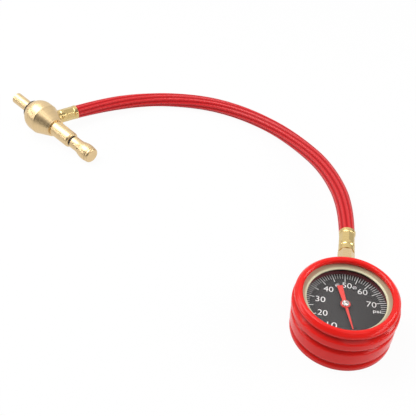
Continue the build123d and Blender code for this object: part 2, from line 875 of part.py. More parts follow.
def hose_ferrule(origin, direction):
    """Sleeve crimped over the hose: eight pressed flats that run out into a flared mouth."""
    inner = hose_crimped_radius + snug
    axis = Axis(origin, direction)
    sleeve_turned = turned(
        [
            (0, inner),
            (0, ferrule_radius - ferrule_chamfer_drop),
            (ferrule_chamfer, ferrule_radius),
            (flare_start, ferrule_radius),
            (ferrule_length, ferrule_mouth_radius),
            (ferrule_length, mouth_inner),
            (flare_start, inner),
        ],
        run_plane(origin, direction),
        axis,
    )
    with BuildPart() as flat:
        with BuildSketch(run_plane(origin, direction)):
            with BuildLine():
                Polyline(
                    (ferrule_crimp_start, ferrule_crimp_apothem),
                    (ferrule_crimp_start - ferrule_crimp_run_out, ferrule_mouth_radius),
                    (flare_start + ferrule_crimp_run_out, ferrule_mouth_radius),
                    (flare_start, ferrule_crimp_apothem),
                    close=True,
                )
            make_face()
        extrude(amount=ferrule_radius, both=True)
    with BuildPart() as sleeve:
        add(sleeve_turned.part)
        for side in range(ferrule_sides):
            turn = (side + 0.5) * 360 / ferrule_sides
            add(flat.part.rotate(axis, turn), mode=Mode.SUBTRACT)
    return sleeve


# Hexagonal nut on the stem, its far end threaded for the hose insert
stem_origin = Vector(0, 0, stem_height)
with BuildPart() as nut:
    with BuildSketch(cross_plane(stem_origin, stem_axis, nut_start)):
        RegularPolygon(nut_flats / 2, 6, major_radius=False)
    extrude(amount=nut_end - nut_start)
    nut_corner = nut_flats / 2 / cos(pi / 6)
    for end, into in ((nut_start, 1), (nut_end, -1)):
        with BuildSketch(run_plane(stem_origin, stem_axis)):
            with BuildLine():
                Polyline(
                    (end, nut_flats / 2),
                    (end + into * nut_chamfer * 0.6, nut_corner + snug),
                    (end - into, nut_corner + snug),
                    (end - into, nut_flats / 2),
                    close=True,
                )
            make_face()
        revolve(axis=Axis(stem_origin, stem_axis), mode=Mode.SUBTRACT)
    for start, end, radius in (
        (nut_start, stem_thread_end + snug, stem_thread_radius + snug),
        (stem_thread_end, nut_end, stem_bore),
        (nut_end - insert_thread_length - snug, nut_end, insert_thread_radius + snug),
    ):
        with BuildSketch(cross_plane(stem_origin, stem_axis, start)):
            Circle(radius)
        extrude(amount=end - start, mode=Mode.SUBTRACT)
save(nut, "stem_nut")

stem_insert = hose_insert(hose_stem_face, stem_axis, stem_collar, insert_thread_length)
save(stem_insert, "gauge_hose_insert")
save(hose_ferrule(hose_stem_face, stem_axis), "gauge_ferrule")
head_insert = hose_insert(hose_head_face, port_axis, head_collar, port_thread_depth - snug)
save(head_insert, "head_hose_insert")
save(hose_ferrule(hose_head_face, port_axis), "head_ferrule")

# Hose: one solid length along its route, its two ends bored for the barbed tails and
# squeezed thinner where the ferrules are crimped
route = [hose_head_face, hose_head_face + port_axis * hose_end_run]
route += [Vector(*point) for point in hose_points]
route += [hose_stem_face + stem_axis * hose_stem_run, hose_stem_face]
bend_radii = []
for before, corner, after in zip(route, route[1:], route[2:]):
    half_turn = radians((corner - before).get_angle(after - corner)) / 2
    shorter = min((corner - before).length, (after - corner).length)
    bend_radii.append(0.45 * shorter / tan(half_turn))
with BuildPart() as hose:
    with BuildLine() as hose_line:
        FilletPolyline(*route, radius=bend_radii)
    with BuildSketch(Plane(origin=hose_head_face, z_dir=port_axis)):
        Circle(hose_radius)
    sweep(path=hose_line.line)
    hose_volume = hose.part.volume
    for origin, direction in ((hose_head_face, port_axis), (hose_stem_face, stem_axis)):
        with BuildSketch(cross_plane(origin, direction, 0)):
            Circle(hose_bore_radius)
        extrude(amount=ferrule_length, mode=Mode.SUBTRACT)
        with BuildSketch(run_plane(origin, direction)):
            with BuildLine():
                Polyline(
                    (-1, hose_crimped_radius),
                    (flare_start, hose_crimped_radius),
                    (ferrule_length, mouth_inner - snug),
                    (ferrule_length, mouth_inner),
                    (-1, mouth_inner),
                    close=True,
                )
            make_face()
        revolve(axis=Axis(origin, direction), mode=Mode.SUBTRACT)
save(hose, "hose")
hose_length = sum(edge.length for edge in hose_line.edges())
print("hose bend radii", [round(radius, 1) for radius in bend_radii])
print("hose length", round(hose_length, 1), "with", 2 * ferrule_length, "inside the ferrules")
print("hose volume", round(hose_volume), round(pi * hose_radius ** 2 * hose_length))


def head_station(station):
    """A plane square to the tool axis at a station, local x level and local y up."""
    return Plane(origin=head_origin + head_axis * station, x_dir=head_side, z_dir=head_axis)


# Slide-valve housing: a brass bulb with a port boss for the hose
housing_front = housing_sphere_centre - sqrt(housing_radius ** 2 - housing_front_radius ** 2)
front_seal_station = housing_front + front_seal_inset
rear_seal_station = housing_end - rear_seal_inset
chamber_front = housing_front + chamber_inset
shoulder = radians(45)
shoulder_point = (
    housing_sphere_centre - housing_radius * cos(shoulder),
    housing_radius * sin(shoulder),
)
chamber_end = neck_tube_front - valve_travel - loose
groove_half = seal_section + seal_groove_extra / 2
groove_growth = seal_seat * 2 + seal_section * 2
with BuildPart() as housing:
    with BuildSketch(head_plane):
        with BuildLine():
            ThreePointArc(
                (housing_front, housing_front_radius),
                shoulder_point,
                (housing_sphere_centre, housing_radius),
            )
            Polyline(
                (housing_sphere_centre, housing_radius),
                (housing_edge, housing_radius),
                (housing_end, housing_end_radius),
                (housing_end, 0),
                (housing_front, 0),
                (housing_front, housing_front_radius),
            )
        make_face()
    revolve(axis=head_line)
    with BuildSketch(cross_plane(port_origin, port_axis, 0)):
        Circle(port_boss_radius)
    extrude(amount=port_face)
    with BuildSketch(head_plane):
        with BuildLine():
            Polyline(
                (housing_front, 0),
                (housing_front, front_bore),
                (front_seal_station - groove_half, front_bore),
                (front_seal_station - groove_half, rod_radius + groove_growth),
                (front_seal_station + groove_half, rod_radius + groove_growth),
                (front_seal_station + groove_half, front_bore),
                (chamber_front, front_bore),
                (chamber_front, chamber_radius),
                (chamber_end, chamber_radius),
                (chamber_end, rear_bore),
                (rear_seal_station - groove_half, rear_bore),
                (rear_seal_station - groove_half, neck_tube_radius + groove_growth),
                (rear_seal_station + groove_half, neck_tube_radius + groove_growth),
                (rear_seal_station + groove_half, rear_bore),
                (housing_end, rear_bore),
                (housing_end, 0),
                close=True,
            )
        make_face()
    revolve(axis=head_line, mode=Mode.SUBTRACT)
    for start, end, radius in (
        (rod_radius, port_face, port_passage),
        (port_face - port_thread_depth, port_face, insert_thread_radius + snug),
        (port_face, port_face + port_boss_radius, port_boss_radius),
    ):
        with BuildSketch(cross_plane(port_origin, port_axis, start)):
            Circle(radius)
        extrude(amount=end - start, mode=Mode.SUBTRACT)
save(housing, "valve_housing")

# O-rings that seal the housing on the tube
for name, station, radius in (
    ("front_o_ring", front_seal_station, rod_radius),
    ("rear_o_ring", rear_seal_station, neck_tube_radius),
):
    ring = torus_ring(radius + seal_seat + seal_section, seal_section, head_plane, head_line, station)
    save(ring, name)

# Core tube: screws onto the tyre valve at its front, with vent holes into the housing
cap_front = neck_tube_end - cap_thread_length
cap_nose_end = neck_tube_end + cap_nose_length
clip_back = housing_front - clip_seat
clip_front = clip_back - clip_thickness
seal_front = rod_end + valve_bore_depth + seal_seat
seal_back = seal_front + chuck_seal_thickness
with BuildPart() as core_tube:
    with BuildSketch(head_plane):
        with BuildLine():
            Polyline(
                (rod_end, valve_bore_radius),
                (rod_end, rod_radius - snug * 8),
                (rod_end + snug * 8, rod_radius),
                (clip_front - seal_seat, rod_radius),
                (clip_front - seal_seat, clip_groove_radius),
                (clip_back + seal_seat, clip_groove_radius),
                (clip_back + seal_seat, rod_radius),
                (neck_tube_front, rod_radius),
                (neck_tube_front, neck_tube_radius),
                (neck_tube_end, neck_tube_radius),
                (neck_tube_end, cap_thread_radius + snug),
                (cap_front, cap_thread_radius + snug),
                (cap_front, core_bore_radius),
                (seal_back, core_bore_radius),
                (seal_back, chuck_seal_radius + snug),
                (rod_end + valve_bore_depth, chuck_seal_radius + snug),
                (rod_end + valve_bore_depth, valve_bore_radius),
                close=True,
            )
        make_face()
    revolve(axis=head_line)
    for vent in range(vent_count):
        outward = head_side.rotate(Axis((0, 0, 0), head_axis), 360 * vent / vent_count)
        with BuildSketch(Plane(origin=head_origin + head_axis * vent_station, z_dir=outward)):
            Circle(vent_radius)
        extrude(amount=2 * rod_radius, mode=Mode.SUBTRACT)
save(core_tube, "core_tube")

# E-shaped clip that stops the housing: three prongs in the tube's groove, its mouth turned away
def clip_point(radius, turn):
    """A place on the clip's plane, at a radius and at an angle from its mouth."""
    place = Vector(radius, 0).rotate(Axis.Z, clip_mouth_turn + turn)
    return place.X, place.Y


with BuildPart() as clip:
    with BuildSketch(head_station(clip_front)):
        Circle(clip_outer_radius)
        Circle(clip_relief_radius, mode=Mode.SUBTRACT)
        with Locations(clip_point(clip_outer_radius, 0)):
            Rectangle(
                2 * clip_outer_radius,
                clip_mouth_width,
                rotation=clip_mouth_turn,
                mode=Mode.SUBTRACT,
            )
        prong_reach = (clip_outer_radius + clip_relief_radius) / 2
        for turn in (-clip_prong_turn, clip_prong_turn, 180):
            with Locations(clip_point(prong_reach / 2, turn)):
                Rectangle(prong_reach, clip_prong_width, rotation=clip_mouth_turn + turn)
        Circle(clip_inner_radius, mode=Mode.SUBTRACT)
    extrude(amount=clip_thickness)
save(clip, "retaining_clip")

# Rubber washer in its groove at the bottom of the valve bore
seal = turned(
    [
        (seal_front, chuck_seal_hole),
        (seal_front, chuck_seal_radius),
        (seal_back, chuck_seal_radius),
        (seal_back, chuck_seal_hole),
    ],
    head_plane,
    head_line,
)
save(seal, "chuck_seal")

# Screwed end of the tube with a rounded shoulder and a hole for the plunger
with BuildPart() as end_cap:
    with BuildSketch(head_plane) as cap_section:
        with BuildLine():
            Polyline(
                (cap_front, plunger_radius + shaft_clearance),
                (cap_front, cap_thread_radius),
                (neck_tube_end, cap_thread_radius),
                (neck_tube_end, neck_tube_radius),
                (cap_nose_end, neck_tube_radius),
                (cap_nose_end, plunger_radius + shaft_clearance),
                close=True,
            )
        make_face()
        fillet(corners(cap_section, [(cap_nose_end, neck_tube_radius)]), cap_nose_fillet)
    revolve(axis=head_line)
save(end_cap, "tube_end_cap")

# Plunger: rod with a sealed piston, a gripper for the valve core and a knob pinned on
piston_end = piston_station + piston_length
piston_middle = piston_station + piston_length / 2
piston_groove_half = piston_seal_section + seal_seat
gripper_front = rod_end + valve_bore_depth
gripper_back = gripper_front + gripper_length
pin_direction = head_side.rotate(Axis((0, 0, 0), head_axis), knob_pin_turn)
pin_centre = head_origin + head_axis * knob_pin_station
pin_plane = Plane(origin=pin_centre, z_dir=pin_direction)
with BuildPart() as pin_hole:
    with BuildSketch(pin_plane):
        Circle(knob_pin_radius + shaft_clearance / 2)
    extrude(amount=knob_radius, both=True)

rod_turned = turned(
    [
        (gripper_back, 0),
        (gripper_back, plunger_radius),
        (piston_station, plunger_radius),
        (piston_station, piston_radius),
        (piston_middle - piston_groove_half, piston_radius),
        (piston_middle - piston_groove_half, piston_groove_radius),
        (piston_middle + piston_groove_half, piston_groove_radius),
        (piston_middle + piston_groove_half, piston_radius),
        (piston_end, piston_radius),
        (piston_end, plunger_radius),
        (knob_bore_end, plunger_radius),
        (knob_bore_end, 0),
    ],
    head_plane,
    head_line,
)
with BuildPart() as rod:
    add(rod_turned.part)
    add(pin_hole.part, mode=Mode.SUBTRACT)
save(rod, "plunger_rod")

plunger_seal = torus_ring(
    core_bore_radius - seal_seat - piston_seal_section,
    piston_seal_section,
    head_plane,
    head_line,
    piston_middle,
)
save(plunger_seal, "plunger_o_ring")

gripper_turned = turned(
    [
        (gripper_front, gripper_bore),
        (gripper_front, gripper_radius),
        (gripper_back, gripper_radius),
        (gripper_back, 0),
        (gripper_front + gripper_bore_depth, 0),
        (gripper_front + gripper_bore_depth, gripper_bore),
    ],
    head_plane,
    head_line,
)
with BuildPart() as gripper:
    add(gripper_turned.part)
    with BuildSketch(head_station(gripper_front)):
        Rectangle(2 * gripper_radius + 1, gripper_slot)
    extrude(amount=gripper_slot_depth, mode=Mode.SUBTRACT)
save(gripper, "core_gripper")

knob_front = cap_nose_end + bumper_thickness + 2 * clip_seat
bumper = turned(
    [
        (cap_nose_end + clip_seat, plunger_radius + shaft_clearance),
        (cap_nose_end + clip_seat, bumper_radius),
        (knob_front - clip_seat, bumper_radius),
        (knob_front - clip_seat, plunger_radius + shaft_clearance),
    ],
    head_plane,
    head_line,
)
save(bumper, "bumper_ring")

knob_waist_end = knob_front + knob_waist_length
knob_line_end = knob_line_station + knob_line_width
with BuildPart() as knob:
    with BuildSketch(head_plane) as knob_section:
        with BuildLine():
            Spline(
                (knob_waist_end, knob_waist_radius),
                (knob_flank_station, knob_flank_radius),
                (knob_peak_station, knob_radius),
                (knob_line_station, knob_line_radius),
                tangents=((1, 0), (1, -0.25)),
            )
            Polyline(
                (knob_line_station, knob_line_radius),
                (knob_line_station, knob_line_radius - knob_line_depth),
                (knob_line_end, knob_line_radius - knob_line_depth),
                (knob_line_end, knob_line_radius),
                (knob_end, knob_line_radius - knob_line_depth),
                (knob_end, 0),
                (knob_bore_end, 0),
                (knob_bore_end, plunger_radius + shaft_clearance / 2),
                (knob_front, plunger_radius + shaft_clearance / 2),
                (knob_front, knob_waist_radius - knob_chamfer),
                (knob_front + knob_chamfer, knob_waist_radius),
                (knob_waist_end, knob_waist_radius),
            )
        make_face()
        knob_corner = (knob_end, knob_line_radius - knob_line_depth)
        fillet(corners(knob_section, [knob_corner]), knob_end_fillet)
    revolve(axis=head_line)
    add(pin_hole.part, mode=Mode.SUBTRACT)
save(knob, "plunger_knob")

with BuildPart() as knob_pin:
    with BuildSketch(pin_plane):
        Circle(knob_pin_radius)
    extrude(amount=knob_waist_radius, both=True)
save(knob_pin, "knob_pin")
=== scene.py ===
import math

import bmesh
import bpy
import numpy as np
from bpy.props import FloatProperty, FloatVectorProperty, IntProperty, PointerProperty
from mathutils import Matrix, Vector


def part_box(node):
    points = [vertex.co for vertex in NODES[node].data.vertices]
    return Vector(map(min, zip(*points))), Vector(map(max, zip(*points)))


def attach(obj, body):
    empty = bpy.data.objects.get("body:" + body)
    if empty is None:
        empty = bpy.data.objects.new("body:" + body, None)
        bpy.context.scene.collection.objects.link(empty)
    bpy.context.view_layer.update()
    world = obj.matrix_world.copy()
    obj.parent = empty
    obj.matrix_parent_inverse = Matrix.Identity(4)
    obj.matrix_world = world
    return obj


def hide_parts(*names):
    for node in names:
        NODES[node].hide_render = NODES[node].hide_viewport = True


bl_info = {
    "name": "Tire deflator with gauge",
    "version": (1, 0, 0),
    "blender": (4, 5, 0),
    "location": "View3D > Sidebar > Deflator",
    "description": "Dresses the packed model of a tire deflator: dial print, woven hose, rubber, brass",
    "category": "Object",
}

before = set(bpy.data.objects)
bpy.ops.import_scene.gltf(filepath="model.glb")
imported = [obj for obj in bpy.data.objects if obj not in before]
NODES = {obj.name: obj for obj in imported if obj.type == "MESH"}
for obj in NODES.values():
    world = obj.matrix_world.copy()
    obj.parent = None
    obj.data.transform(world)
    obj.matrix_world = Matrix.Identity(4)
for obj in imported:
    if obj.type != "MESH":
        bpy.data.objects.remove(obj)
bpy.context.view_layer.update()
MM = 0.001

# Two points closer than this are one, and an edge turned more than this is sharp
MERGE_DISTANCE = 1e-7
SHARP_ANGLE = math.radians(35)

# The hose's route in metres: the part's own ends, and points given between them
HEAD_AXIS = Vector((0.8420140, -0.5261488, -0.1190791))
PORT_AXIS = Vector((0.6852508, 0.7224087, -0.0925046))
HEAD_COLLAR = Vector((-268.3915, 187.7123, 13.0171)) * MM
STEM_COLLAR = Vector((0, 62.5, 17.5)) * MM
STEM_AXIS = Vector((0, 1, 0))
HEAD_RUN = 40.8 * MM
STEM_RUN = 43.5 * MM
ROUTE_POINTS = (
    Vector((-196.0, 241.4, 6.95)) * MM,
    Vector((-148.3, 246.9, 6.8)) * MM,
    Vector((-111.3, 239.9, 6.75)) * MM,
    Vector((-75.4, 222.0, 7.2)) * MM,
    Vector((-46.8, 196.6, 9.3)) * MM,
    Vector((-18.9, 159.8, 13.6)) * MM,
)

# Centres of the dial's numbers and of its unit, read with the stem at the top, in metres
NUMERAL_PLACES = {
    10: (-0.0081, -0.0184),
    20: (-0.0149, -0.0090),
    30: (-0.0170, 0.0026),
    40: (-0.0120, 0.0127),
    50: (0.0006, 0.0184),
    60: (0.0115, 0.0145),
    70: (0.0177, 0.0043),
}
UNIT_PLACE = (0.0215, -0.0016)

# The strokes of the dial's letters are swollen by these shares of a letter's height
NUMBER_SWELL = -0.004
UNIT_SWELL = 0.014

# Every so many marks one is long; half the widths of long and short marks, in metres
LONG_MARK_EVERY = 5
LONG_MARK_HALF_WIDTH = 0.00025
SHORT_MARK_HALF_WIDTH = 0.00017

# Kinds of ray that show the background
CAMERA_RAYS = ("Is Camera Ray",)
MIRROR_RAYS = ("Is Glossy Ray", "Is Transmission Ray")

# Radius and level of the bottom of each of the boot's three grooves, in metres
GROOVES = ((0.03445, 0.0058), (0.0342, 0.0204), (0.0340, 0.0317))


class DialSettings(bpy.types.PropertyGroup):
    """The printing on the dial."""

    zero_angle: FloatProperty(
        name="Zero angle",
        description="Where the scale starts, clockwise from the stem",
        default=math.radians(164.5),
        subtype="ANGLE",
    )
    sweep: FloatProperty(
        name="Sweep",
        description="The angle that the whole scale covers",
        default=math.radians(290.0),
        subtype="ANGLE",
    )
    divisions: IntProperty(
        name="Divisions",
        description="Marks on the scale after zero",
        default=75,
    )
    mark_outer: FloatProperty(
        name="Mark outer radius", description="Where every mark ends", default=0.0288, unit="LENGTH"
    )
    mark_long: FloatProperty(
        name="Long mark radius",
        description="Where each fifth mark starts",
        default=0.0217,
        unit="LENGTH",
    )
    mark_short: FloatProperty(
        name="Short mark radius",
        description="Where the other marks start",
        default=0.0243,
        unit="LENGTH",
    )
    numeral_height: FloatProperty(
        name="Numeral height", description="Height of the numbers", default=0.0047, unit="LENGTH"
    )
    numeral_width: FloatProperty(
        name="Numeral width",
        description="Width of a number of two digits",
        default=0.0067,
        unit="LENGTH",
    )
    unit_height: FloatProperty(
        name="Unit height",
        description="Height of the unit's letters",
        default=0.0034,
        unit="LENGTH",
    )
    unit_width: FloatProperty(
        name="Unit width", description="Width of the unit", default=0.0054, unit="LENGTH"
    )
    print_height: FloatProperty(
        name="Print height",
        description="Thickness of the printed ink",
        default=0.00004,
        unit="LENGTH",
    )
    ink: FloatVectorProperty(
        name="Ink",
        description="Colour of the printing",
        default=(0.96, 0.96, 0.94, 1.0),
        size=4,
        subtype="COLOR",
    )


class HoseSettings(bpy.types.PropertyGroup):
    """The woven hose."""

    diameter: FloatProperty(
        name="Diameter", description="Over the ribs", default=0.0131, unit="LENGTH"
    )
    bore: FloatProperty(
        name="End bore",
        description="Radius of the bore round each barbed tail",
        default=0.0032,
        unit="LENGTH",
    )
    bore_depth: FloatProperty(
        name="Bore depth", description="How deep each end is bored", default=0.0168, unit="LENGTH"
    )
    crimp_radius: FloatProperty(
        name="Crimped radius",
        description="Radius squeezed inside a ferrule",
        default=0.0050,
        unit="LENGTH",
    )
    crimp_end: FloatProperty(
        name="Crimp end",
        description="Where the squeezed end starts to widen",
        default=0.0133,
        unit="LENGTH",
    )
    mouth_start: FloatProperty(
        name="Mouth start",
        description="Where the hose fills the ferrule's mouth",
        default=0.0161,
        unit="LENGTH",
    )
    mouth_radius: FloatProperty(
        name="Mouth radius",
        description="Radius inside the ferrule's mouth",
        default=0.0060,
        unit="LENGTH",
    )
    full_start: FloatProperty(
        name="Full start",
        description="Where the hose has its whole width",
        default=0.0600,
        unit="LENGTH",
    )
    rib_start: FloatProperty(
        name="Rib start",
        description="Where the ribs have their whole depth",
        default=0.0210,
        unit="LENGTH",
    )
    rib_count: IntProperty(name="Ribs", description="Ribs round the hose", default=10)
    rib_depth: FloatProperty(
        name="Rib depth",
        description="From a rib's crown to the groove beside it",
        default=0.00055,
        unit="LENGTH",
    )
    rib_twist: FloatProperty(
        name="Rib twist", description="Turns that a rib makes over the whole hose", default=0.4
    )
    colour: FloatVectorProperty(
        name="Colour",
        description="Colour of the hose",
        default=(0.64, 0.017, 0.021, 1.0),
        size=4,
        subtype="COLOR",
    )


class BootSettings(bpy.types.PropertyGroup):
    """The gauge's rubber boot: radii from the gauge's axis and levels from its flat back."""

    foot: FloatVectorProperty(
        name="Foot",
        description="Radius, and level of its top",
        default=(0.0359, 0.0036),
        size=2,
        unit="LENGTH",
    )
    lower_band: FloatVectorProperty(
        name="Lower band",
        description="Radius, and levels of its two shoulders",
        default=(0.0363, 0.0089, 0.0182),
        size=3,
        unit="LENGTH",
    )
    upper_band: FloatVectorProperty(
        name="Upper band",
        description="Radius, and levels of its two shoulders",
        default=(0.0369, 0.0244, 0.0296),
        size=3,
        unit="LENGTH",
    )
    lip_place: FloatVectorProperty(
        name="Lip place",
        description="Radius and level of the lip's middle",
        default=(0.03284, 0.03595),
        size=2,
        unit="LENGTH",
    )
    lip_thickness: FloatProperty(
        name="Lip thickness",
        description="Across the lip",
        default=0.0045,
        unit="LENGTH",
    )
    lip_length: FloatProperty(
        name="Lip length",
        description="Along the lip",
        default=0.00624,
        unit="LENGTH",
    )
    lip_lean: FloatProperty(
        name="Lip lean",
        description="How far the lip leans inward",
        default=math.radians(47.8),
        subtype="ANGLE",
    )
    colour: FloatVectorProperty(
        name="Colour",
        description="Colour of the boot",
        default=(0.80, 0.016, 0.012, 1.0),
        size=4,
        subtype="COLOR",
    )
    roughness: FloatProperty(
        name="Roughness",
        description="Roughness of the boot's skin",
        default=0.17,
    )
    gloss: FloatProperty(name="Gloss", description="Strength of the boot's shine", default=0.24)


class HubSettings(bpy.types.PropertyGroup):
    """The middle of the pointer."""

    boss_radius: FloatProperty(
        name="Boss radius",
        description="Of the red boss",
        default=0.0034,
        unit="LENGTH",
    )
    edge: FloatProperty(
        name="Edge",
        description="Width of the boss's rounded edge",
        default=0.0002,
        unit="LENGTH",
    )
    overlap: FloatProperty(
        name="Overlap",
        description="Height over the pointer",
        default=0.00006,
        unit="LENGTH",
    )
    cap_radius: FloatProperty(
        name="Cap radius",
        description="Of the bare cap",
        default=0.00245,
        unit="LENGTH",
    )
    cap_height: FloatProperty(
        name="Cap height",
        description="Of the bare cap",
        default=0.0009,
        unit="LENGTH",
    )
    flutes: IntProperty(name="Flutes", description="Hollows round the cap", default=5)
    flute_depth: FloatProperty(
        name="Flute depth",
        description="Of each hollow",
        default=0.00035,
        unit="LENGTH",
    )
    colour: FloatVectorProperty(
        name="Colour",
        description="Colour of the cap",
        default=(0.60, 0.58, 0.56, 1.0),
        size=4,
        subtype="COLOR",
    )
    roughness: FloatProperty(name="Roughness", description="Roughness of the cap", default=0.24)


class BrassSettings(bpy.types.PropertyGroup):
    """The turned brass of the head and the hose ends."""

    colour: FloatVectorProperty(
        name="Colour",
        description="Colour of the head's brass",
        default=(0.83, 0.62, 0.345, 1.0),
        size=4,
        subtype="COLOR",
    )
    roughness: FloatProperty(
        name="Roughness",
        description="Roughness of the head's brass",
        default=0.39,
    )
    fitting_colour: FloatVectorProperty(
        name="Fitting colour",
        description="Colour of the hose ends' brass",
        default=(0.78, 0.58, 0.25, 1.0),
        size=4,
        subtype="COLOR",
    )
    fitting_roughness: FloatProperty(
        name="Fitting roughness", description="Roughness of the hose ends' brass", default=0.22
    )


class StageSettings(bpy.types.PropertyGroup):
    """Camera, floor and lamps."""

    lens: FloatProperty(name="Lens", description="Focal length", default=61.43, unit="CAMERA")
    key_power: FloatProperty(
        name="Key",
        description="Power of the main lamp",
        default=8.5,
        unit="POWER",
    )
    fill_power: FloatProperty(
        name="Fill",
        description="Power of the lamp opposite",
        default=3.5,
        unit="POWER",
    )
    front_power: FloatProperty(
        name="Front",
        description="Power of the lamp in front",
        default=1.6,
        unit="POWER",
    )
    low_power: FloatProperty(
        name="Low",
        description="Power of each small lamp at the side",
        default=1.7,
        unit="POWER",
    )
    world_light: FloatProperty(
        name="World",
        description="Strength of the light all round",
        default=0.38,
    )


def quad_corners(grid):
    """The four corners of each square of a grid, in order round it."""
    return [grid[:-1, :-1], grid[:-1, 1:], grid[1:, 1:], grid[1:, :-1]]


def face_outward(mesh, merge=False):
    """Turns a mesh's faces outward, after merging the points that meet if asked."""
    work = bmesh.new()
    work.from_mesh(mesh)
    if merge:
        bmesh.ops.remove_doubles(work, verts=work.verts, dist=MERGE_DISTANCE)
    bmesh.ops.recalc_face_normals(work, faces=work.faces)
    work.to_mesh(mesh)
    work.free()


def grid_mesh(name, grid, wrapped=True, uv=None):
    """A smooth mesh from a grid of points, shaped (rows, columns, 3).

    Each quad joins a point to the next along its row and column. A wrapped grid joins its last column
    to its first. A row whose points all meet becomes a pole.
    """
    rows, columns = grid.shape[:2]
    index = np.arange(rows * columns).reshape(rows, columns)
    if wrapped:
        index = np.hstack([index, index[:, :1]])
    quads = np.stack(quad_corners(index), axis=-1).reshape(-1, 4)
    mesh = bpy.data.meshes.new(name)
    mesh.from_pydata(grid.reshape(-1, 3).tolist(), [], quads.tolist())
    if uv is not None:
        layer = mesh.uv_layers.new(name="along")
        seam = uv[:, :1].copy()
        seam[..., 1] = 1.0
        corners = np.stack(quad_corners(np.hstack([uv, seam])), axis=2)
        layer.data.foreach_set("uv", corners.astype(np.float32).ravel())
    face_outward(mesh, merge=True)
    mesh.shade_smooth()
    return mesh


def revolved(outline, columns):
    """A grid from an outline of radius and level: each of its points swept round the gauge's axis."""
    turn = 2 * np.pi * np.arange(columns) / columns
    grid = np.empty((len(outline), columns, 3))
    grid[..., 0] = outline[:, :1] * np.cos(turn)
    grid[..., 1] = outline[:, :1] * np.sin(turn)
    grid[..., 2] = outline[:, 1:]
    return grid


def mesh_of(name, curve):
    """The mesh that a curve or text makes."""
    maker = bpy.data.objects.new(name, curve)
    bpy.context.scene.collection.objects.link(maker)
    mesh = bpy.data.meshes.new_from_object(maker)
    bpy.data.objects.remove(maker)
    return mesh


def vertex_places(mesh):
    """Every vertex's place, one in each row."""
    place = np.empty(len(mesh.vertices) * 3)
    mesh.vertices.foreach_get("co", place)
    return place.reshape(-1, 3)


def add_piece(name, mesh, body, material):
    """Links a mesh as a piece that rides on a body and takes a material slot's finish."""
    piece = bpy.data.objects.new(name, mesh)
    bpy.context.scene.collection.objects.link(piece)
    mesh.materials.clear()
    mesh.materials.append(material)
    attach(piece, body)
    return piece


def new_material(name):
    """A new material with its node tree and its Principled shader."""
    material = bpy.data.materials.new(name)
    material.use_nodes = True
    tree = material.node_tree
    shader = tree.nodes["Principled BSDF"]
    return material, tree, shader


def node(tree, kind, **inputs):
    """A node of a kind, with its input sockets set by name."""
    made = tree.nodes.new(kind)
    for key, value in inputs.items():
        made.inputs[key].default_value = value
    return made


def ramp(tree, source, stops):
    """A grey ramp fed by a socket, with stops of position and grey."""
    made = tree.nodes.new("ShaderNodeValToRGB")
    made.color_ramp.elements[0].position = stops[0][0]
    made.color_ramp.elements[1].position = stops[-1][0]
    for position, _ in stops[1:-1]:
        made.color_ramp.elements.new(position)
    for element, (_, grey) in zip(made.color_ramp.elements, stops):
        element.color = (grey, grey, grey, 1.0)
    tree.links.new(source, made.inputs["Fac"])
    return made.outputs["Color"]


def feed(tree, socket, value):
    """Links a socket to another, or sets it to a plain value."""
    if isinstance(value, bpy.types.NodeSocket):
        tree.links.new(value, socket)
    else:
        socket.default_value = value


def calculated(tree, operation, *values):
    """The result of a Math node, its inputs fed in order by sockets or plain numbers."""
    made = tree.nodes.new("ShaderNodeMath")
    made.operation = operation
    for socket, value in zip(made.inputs, values):
        feed(tree, socket, value)
    return made.outputs["Value"]


def product(tree, first, second):
    """Two colours multiplied, each a socket or a plain colour."""
    mix = tree.nodes.new("ShaderNodeMix")
    mix.data_type = "RGBA"
    mix.blend_type = "MULTIPLY"
    mix.inputs["Factor"].default_value = 1.0
    feed(tree, mix.inputs["A"], first)
    feed(tree, mix.inputs["B"], second)
    return mix.outputs["Result"]


def object_place(tree):
    """A point's place in Object coordinates."""
    return tree.nodes.new("ShaderNodeTexCoord").outputs["Object"]


def bump(tree, shader, height, distance, strength):
    """Raises the shader's normal by a height socket."""
    made = node(tree, "ShaderNodeBump", Strength=strength, Distance=distance)
    tree.links.new(height, made.inputs["Height"])
    tree.links.new(made.outputs["Normal"], shader.inputs["Normal"])


def noise(tree, place, scale, detail, roughness=0.5):
    """A noise of a scale and detail, read at a place."""
    made = node(tree, "ShaderNodeTexNoise", Scale=scale, Detail=detail, Roughness=roughness)
    tree.links.new(place, made.inputs["Vector"])
    return made.outputs["Fac"]


def turned_metal(name, colour, roughness, axis):
    """Metal turned on a lathe: rings across an axis from wide to fine, cloudy tone, uneven polish."""
    rings_per_metre = 1500.0
    ring_depth = 0.0015 * MM
    material, tree, shader = new_material(name)
    shader.inputs["Metallic"].default_value = 1.0
    station = tree.nodes.new("ShaderNodeVectorMath")
    station.operation = "DOT_PRODUCT"
    station.inputs[1].default_value = axis
    tree.links.new(object_place(tree), station.inputs[0])
    rings = node(tree, "ShaderNodeTexNoise", Scale=rings_per_metre, Detail=5.0, Roughness=0.6)
    rings.noise_dimensions = "1D"
    tree.links.new(station.outputs["Value"], rings.inputs["W"])
    clouds = noise(tree, object_place(tree), 160.0, 4.0, 0.6)
    tone = ramp(tree, clouds, [(0.3, 0.93), (0.7, 1.0)])
    ringed = ramp(tree, rings.outputs["Fac"], [(0.35, 0.80), (0.6, 1.0)])
    tinted = product(tree, colour, tone)
    tree.links.new(product(tree, tinted, ringed), shader.inputs["Base Color"])
    polish = ramp(tree, rings.outputs["Fac"], [(0.3, roughness * 0.85), (0.7, roughness * 1.2)])
    tree.links.new(polish, shader.inputs["Roughness"])
    bump(tree, shader, rings.outputs["Fac"], ring_depth, 0.6)
    return material


